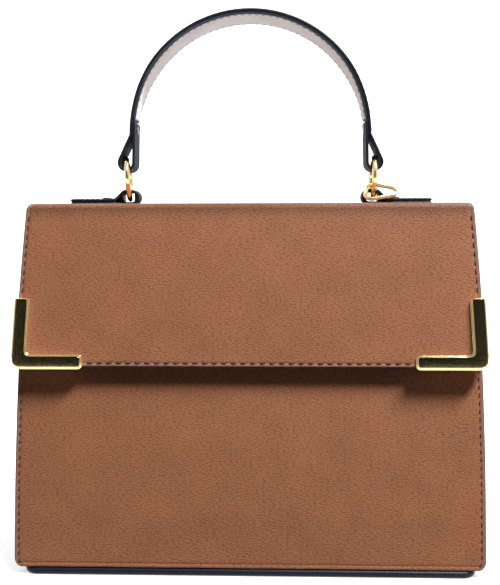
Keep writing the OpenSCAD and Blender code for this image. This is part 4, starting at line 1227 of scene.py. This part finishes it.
# Inside
def panel(name, half_x, z0, z1, depths, side, material, taper=None):
    """A flat strip on the inside of a wall between two depths, with round edges.

    With a taper, its ends keep that distance from the wall's sides at every height."""
    fine = [0, 0.1, 0.3, 0.7, 1.4, 2.5]
    z = steps(z1 - z0, fine, 4.0)[:, None] + z0
    grow = 1.0 if taper is None else (side_x(z) - taper) / half_x
    x = (steps(2 * half_x, fine, 5.0) - half_x) * grow
    rim = np.maximum(np.minimum(half_x * grow - np.abs(x), np.minimum(z - z0, z1 - z)), 0)
    mid, thick = (depths[0] + depths[1]) / 2, depths[1] - depths[0]
    half = thick / 2 * round_edge(rim, thick)
    return slab(name, wall_point(x, z, mid + half, side), wall_point(x, z, mid - half, side),
                material, grid(x, z), rim)


def shell(name, top, bottom, keep, material, uv):
    """A sheet that closes on itself along its columns. Cells that aren't kept are holes, and
    every open edge gets a wall between the two layers."""
    rows, cols = top.shape[:2]
    count = rows * cols
    over = np.arange(count).reshape(rows, cols)
    cells = corners_of(np.concatenate([over, over[:, :1]], axis=1))[keep.ravel()]
    edges = np.stack([cells, np.roll(cells, -1, axis=1)], axis=-1).reshape(-1, 2)
    code, back = edges[:, 0] * count + edges[:, 1], edges[:, 1] * count + edges[:, 0]
    a, b = edges[~np.isin(code, back)].T
    rims = np.stack([b, a, a + count, b + count], axis=-1)
    wide = np.concatenate([uv, uv[:, -1:] + (uv[:, -1:] - uv[:, -2:-1])], axis=1)
    wide_cells = corners_of(np.arange(rows * (cols + 1)).reshape(rows, -1))[keep.ravel()]
    cell_uv = wide.reshape(-1, 2)[wide_cells]
    side_uv = uv.reshape(-1, 2)[rims % count]
    used, faces = np.unique(np.concatenate([cells, cells[:, ::-1] + count, rims]),
                            return_inverse=True)
    verts = np.concatenate([top.reshape(-1, 3), bottom.reshape(-1, 3)])[used]
    return mesh_piece(name, verts, faces.reshape(-1, 4), material,
                      np.concatenate([cell_uv, cell_uv[:, ::-1], side_uv]))


def lining_shell():
    """The lining of all four sides in one loop of cloth, with the zip's window in its back.

    Each height has one ring: an arc at each corner, straight walls in front and behind, and
    sides that follow the gussets' fold. The cloth has soft upright wrinkles where it is free."""
    low, high = up_wall(ZIP_UP - ZIP_HALF_H), up_wall(ZIP_UP + ZIP_HALF_H)
    z = np.concatenate([np.linspace(FLOOR_TOP - 0.05, low, 36), np.linspace(low, high, 4)[1:],
                        np.linspace(high, WALL_TOP - 0.4, 14)[1:]])
    window = (z[:-1] > low - 0.1) & (z[1:] < high + 0.1)
    z = z[:, None]
    r = LINING_CORNER_R
    inner_r = CORNER_R - LINING_CLEAR
    into = np.clip(BASE_T + CORNER_R - z, 0, inner_r)
    reach = side_x(z) - LINING_CLEAR - inner_r + np.sqrt(inner_r ** 2 - into ** 2)
    wall_y = FOOT_Y - (z - BASE_T) * WALL_SLOPE
    free = np.clip((z - 12) / 25, 0, 1) * np.clip((WALL_TOP - 26 - z) / 20, 0, 1)

    def side_reach(y):
        """How far the side stands from the middle at a depth: it follows the gusset's fold."""
        return reach - fold_in(z, np.abs(y) / (wall_y - LEATHER_T))

    def arc(x, y, start):
        """A round corner about a centre, from an angle on."""
        angle = np.radians(start + np.linspace(0, 90, 6))
        return x + r * np.cos(angle), y + r * np.sin(angle)

    def beside(sign, start, end):
        """A side between two corners, slack in its middle."""
        t = np.linspace(0, 1, 24)[None, 1:-1]
        y = start + (end - start) * t
        ripple = 0.8 * free * np.abs(waves(y * 1.6, z * 0.35, (17, 26, 40), 51 + sign))
        return sign * (side_reach(y) - ripple * 4 * t * (1 - t)), y

    def wall(y, stops, seed):
        """A wall in front or behind, in stretches of so many cells from stop to stop."""
        x = np.concatenate([a + (b - a) * np.linspace(0, 1, n + 1)[None, 1:]
                            for a, b, n in stops], axis=1)[:, :-1]
        inner = 0.45 * free * np.abs(waves(x * 0.8, z * 0.3, (31, 47, 22), seed))
        return x, y - np.sign(y) * inner

    front_y = r + FRONT_LINING_DEPTH / math.cos(LEAN) - wall_y
    back_y = wall_y - BACK_LINING_DEPTH / math.cos(LEAN) - r
    front_x, back_x = side_reach(front_y) - r, side_reach(back_y) - r
    edge = ZIP_HALF_L + 0 * z
    parts = [arc(front_x, front_y, -90), beside(1, front_y, back_y), arc(back_x, back_y, 0),
             wall(back_y + r, [(back_x, edge, 10), (edge, -edge, 30), (-edge, -back_x, 10)], 61),
             arc(-back_x, back_y, 90), beside(-1, back_y, front_y), arc(-front_x, front_y, 180),
             wall(front_y - r, [(-front_x, front_x, 50)], 62)]
    x = np.concatenate([a for a, _ in parts], axis=1)
    y = np.concatenate([b + 0 * a for a, b in parts], axis=1)
    first = sum(a.shape[1] for a, _ in parts[:3]) + 9
    keep = np.ones((len(z) - 1, x.shape[1]), bool)
    keep[window, first:first + 30] = False
    tx, ty = np.roll(x, -1, 1) - np.roll(x, 1, 1), np.roll(y, -1, 1) - np.roll(y, 1, 1)
    size = np.hypot(tx, ty) / (LINING_T / 2)
    inward = grid(-ty / size, tx / size, 0.0)
    mid = grid(x, y, z)
    run = np.cumsum(np.hypot(x - np.roll(x, 1, 1), y - np.roll(y, 1, 1)), axis=1)
    return shell("lining_shell", mid + inward, mid - inward, keep, lining_cloth, grid(run, z))


def pocket_patch():
    """The slip pocket: a patch of cloth that stands off the front lining, open at its top.

    It rises from its sides and foot in a round shoulder and gapes a little at the mouth, where
    the cloth is turned over twice."""
    fine = [0, 0.3, 0.8, 1.6, 3, 5, 8, 12]
    x = steps(2 * POCKET_HALF_L, fine, 5.0) - POCKET_HALF_L
    v = np.concatenate([fine, np.linspace(15, POCKET_H - 11, 16),
                        POCKET_H - np.array([10.4, 5, 0.6, 0.2, 0])])[:, None]
    off = np.minimum(POCKET_HALF_L - np.abs(x), v)
    soft = 0.8 * waves(x, v, (38, 55, 27), 71) * np.clip(off / 20, 0, 1)
    middle = POCKET_DEPTH + np.maximum(POCKET_RISE * round_edge(off, 15) + soft, 0)
    thick = np.where(v > POCKET_H - 10.7, 0.85, 0.4) * np.where(v > POCKET_H - 0.3, 0.5, 1.0)
    z = up_wall(POCKET_LOW + v)
    return slab("slip_pocket_cloth", wall_point(x, z, middle + thick),
                wall_point(x, z, middle - thick), lining_cloth, grid(x, z))


def floor_cloth():
    """The base's lining: one flat cloth over the base board, raised a little here and there."""
    fine = [0, 0.3, 1, 2, 4]
    x = steps(2 * FLOOR_HALF_L, fine, 6.0) - FLOOR_HALF_L
    y = steps(2 * FLOOR_HALF_D, fine, 6.0)[:, None] - FLOOR_HALF_D
    rim = np.minimum(FLOOR_HALF_L - np.abs(x), FLOOR_HALF_D - np.abs(y))
    half = LINING_T / 2 * round_edge(rim, CLOTH_EDGE)
    mid = FLOOR_TOP - LINING_T / 2
    lift = 0.15 * np.abs(waves(x, y, (60, 43, 80), 81)) * np.clip(rim / 20, 0, 1)
    return slab("base_lining_cloth", grid(x, y, mid + half + lift), grid(x, y, mid - half),
                lining_cloth, grid(x, y))


lining = place(lining_shell(), "bag", "lining", "front_lining", "back_lining",
               "gusset_lining_left", "gusset_lining_right")
floor = place(floor_cloth(), "bag", "lining", "base_lining")
pocket = place(pocket_patch(), "bag", "lining", "slip_pocket")
pocket_bag = place(panel("zip_pocket_cloth", ZIP_BAG_HALF_L, up_wall(ZIP_BAG_LOW),
                         up_wall(ZIP_BAG_HIGH), ZIP_BAG_DEPTHS, 1, lining_cloth),
                   "bag", "lining", "zip_pocket_bag")
tapes = [place(panel(node + "_cloth", ZIP_HALF_L, up_wall(ZIP_UP + low), up_wall(ZIP_UP + high),
                     TAPE_DEPTHS, 1, tape_cloth), "bag", "zip_tape", node)
         for node, low, high in (("zip_tape_upper", TAPE_IN, TAPE_OUT),
                                 ("zip_tape_lower", -TAPE_OUT, -TAPE_IN))]

half = side_x(WALL_TOP) - FACING_INSET
for side, node, lining_depth in ((-1, "facing_front", FRONT_LINING_DEPTH),
                                 (1, "facing_back", BACK_LINING_DEPTH)):
    depth = lining_depth + LINING_T / 2
    place(panel(node + "_leather", half, WALL_TOP - FACING_H, WALL_TOP - 0.1, (depth, depth + 1),
                side, black_hide, taper=FACING_INSET), "bag", "black_leather", node)
    path = wall_point(np.linspace(-half + 3, half - 3, 80), WALL_TOP - FACING_H + FACING_STITCH,
                      depth + 0.95, side)
    place(stitches(node + "_stitches", path, (0, -side * math.cos(LEAN), -math.sin(LEAN)),
                   *FACING_SEAM, black_thread), "bag", "black_leather")

# A row of stitches in the cloth round the zip's window.
reach, rise = ZIP_HALF_L + ZIP_STITCH, ZIP_HALF_H + ZIP_STITCH
path = wall_point(reach * np.array([-1, 1, 1, -1, -1]),
                  up_wall(ZIP_UP + rise * np.array([-1, -1, 1, 1, -1])), 4.42, 1)
place(stitches("zip_window_stitches", path, (0, -math.cos(LEAN), -math.sin(LEAN)), *ZIP_SEAM,
               lining_thread), "bag", "lining")

for name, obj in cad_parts.items():
    obj.data.materials.clear()
    obj.data.materials.append(pale_gold if name in GOLD_NODES else
                              fibreboard if name == "base_board" else lining_plain)
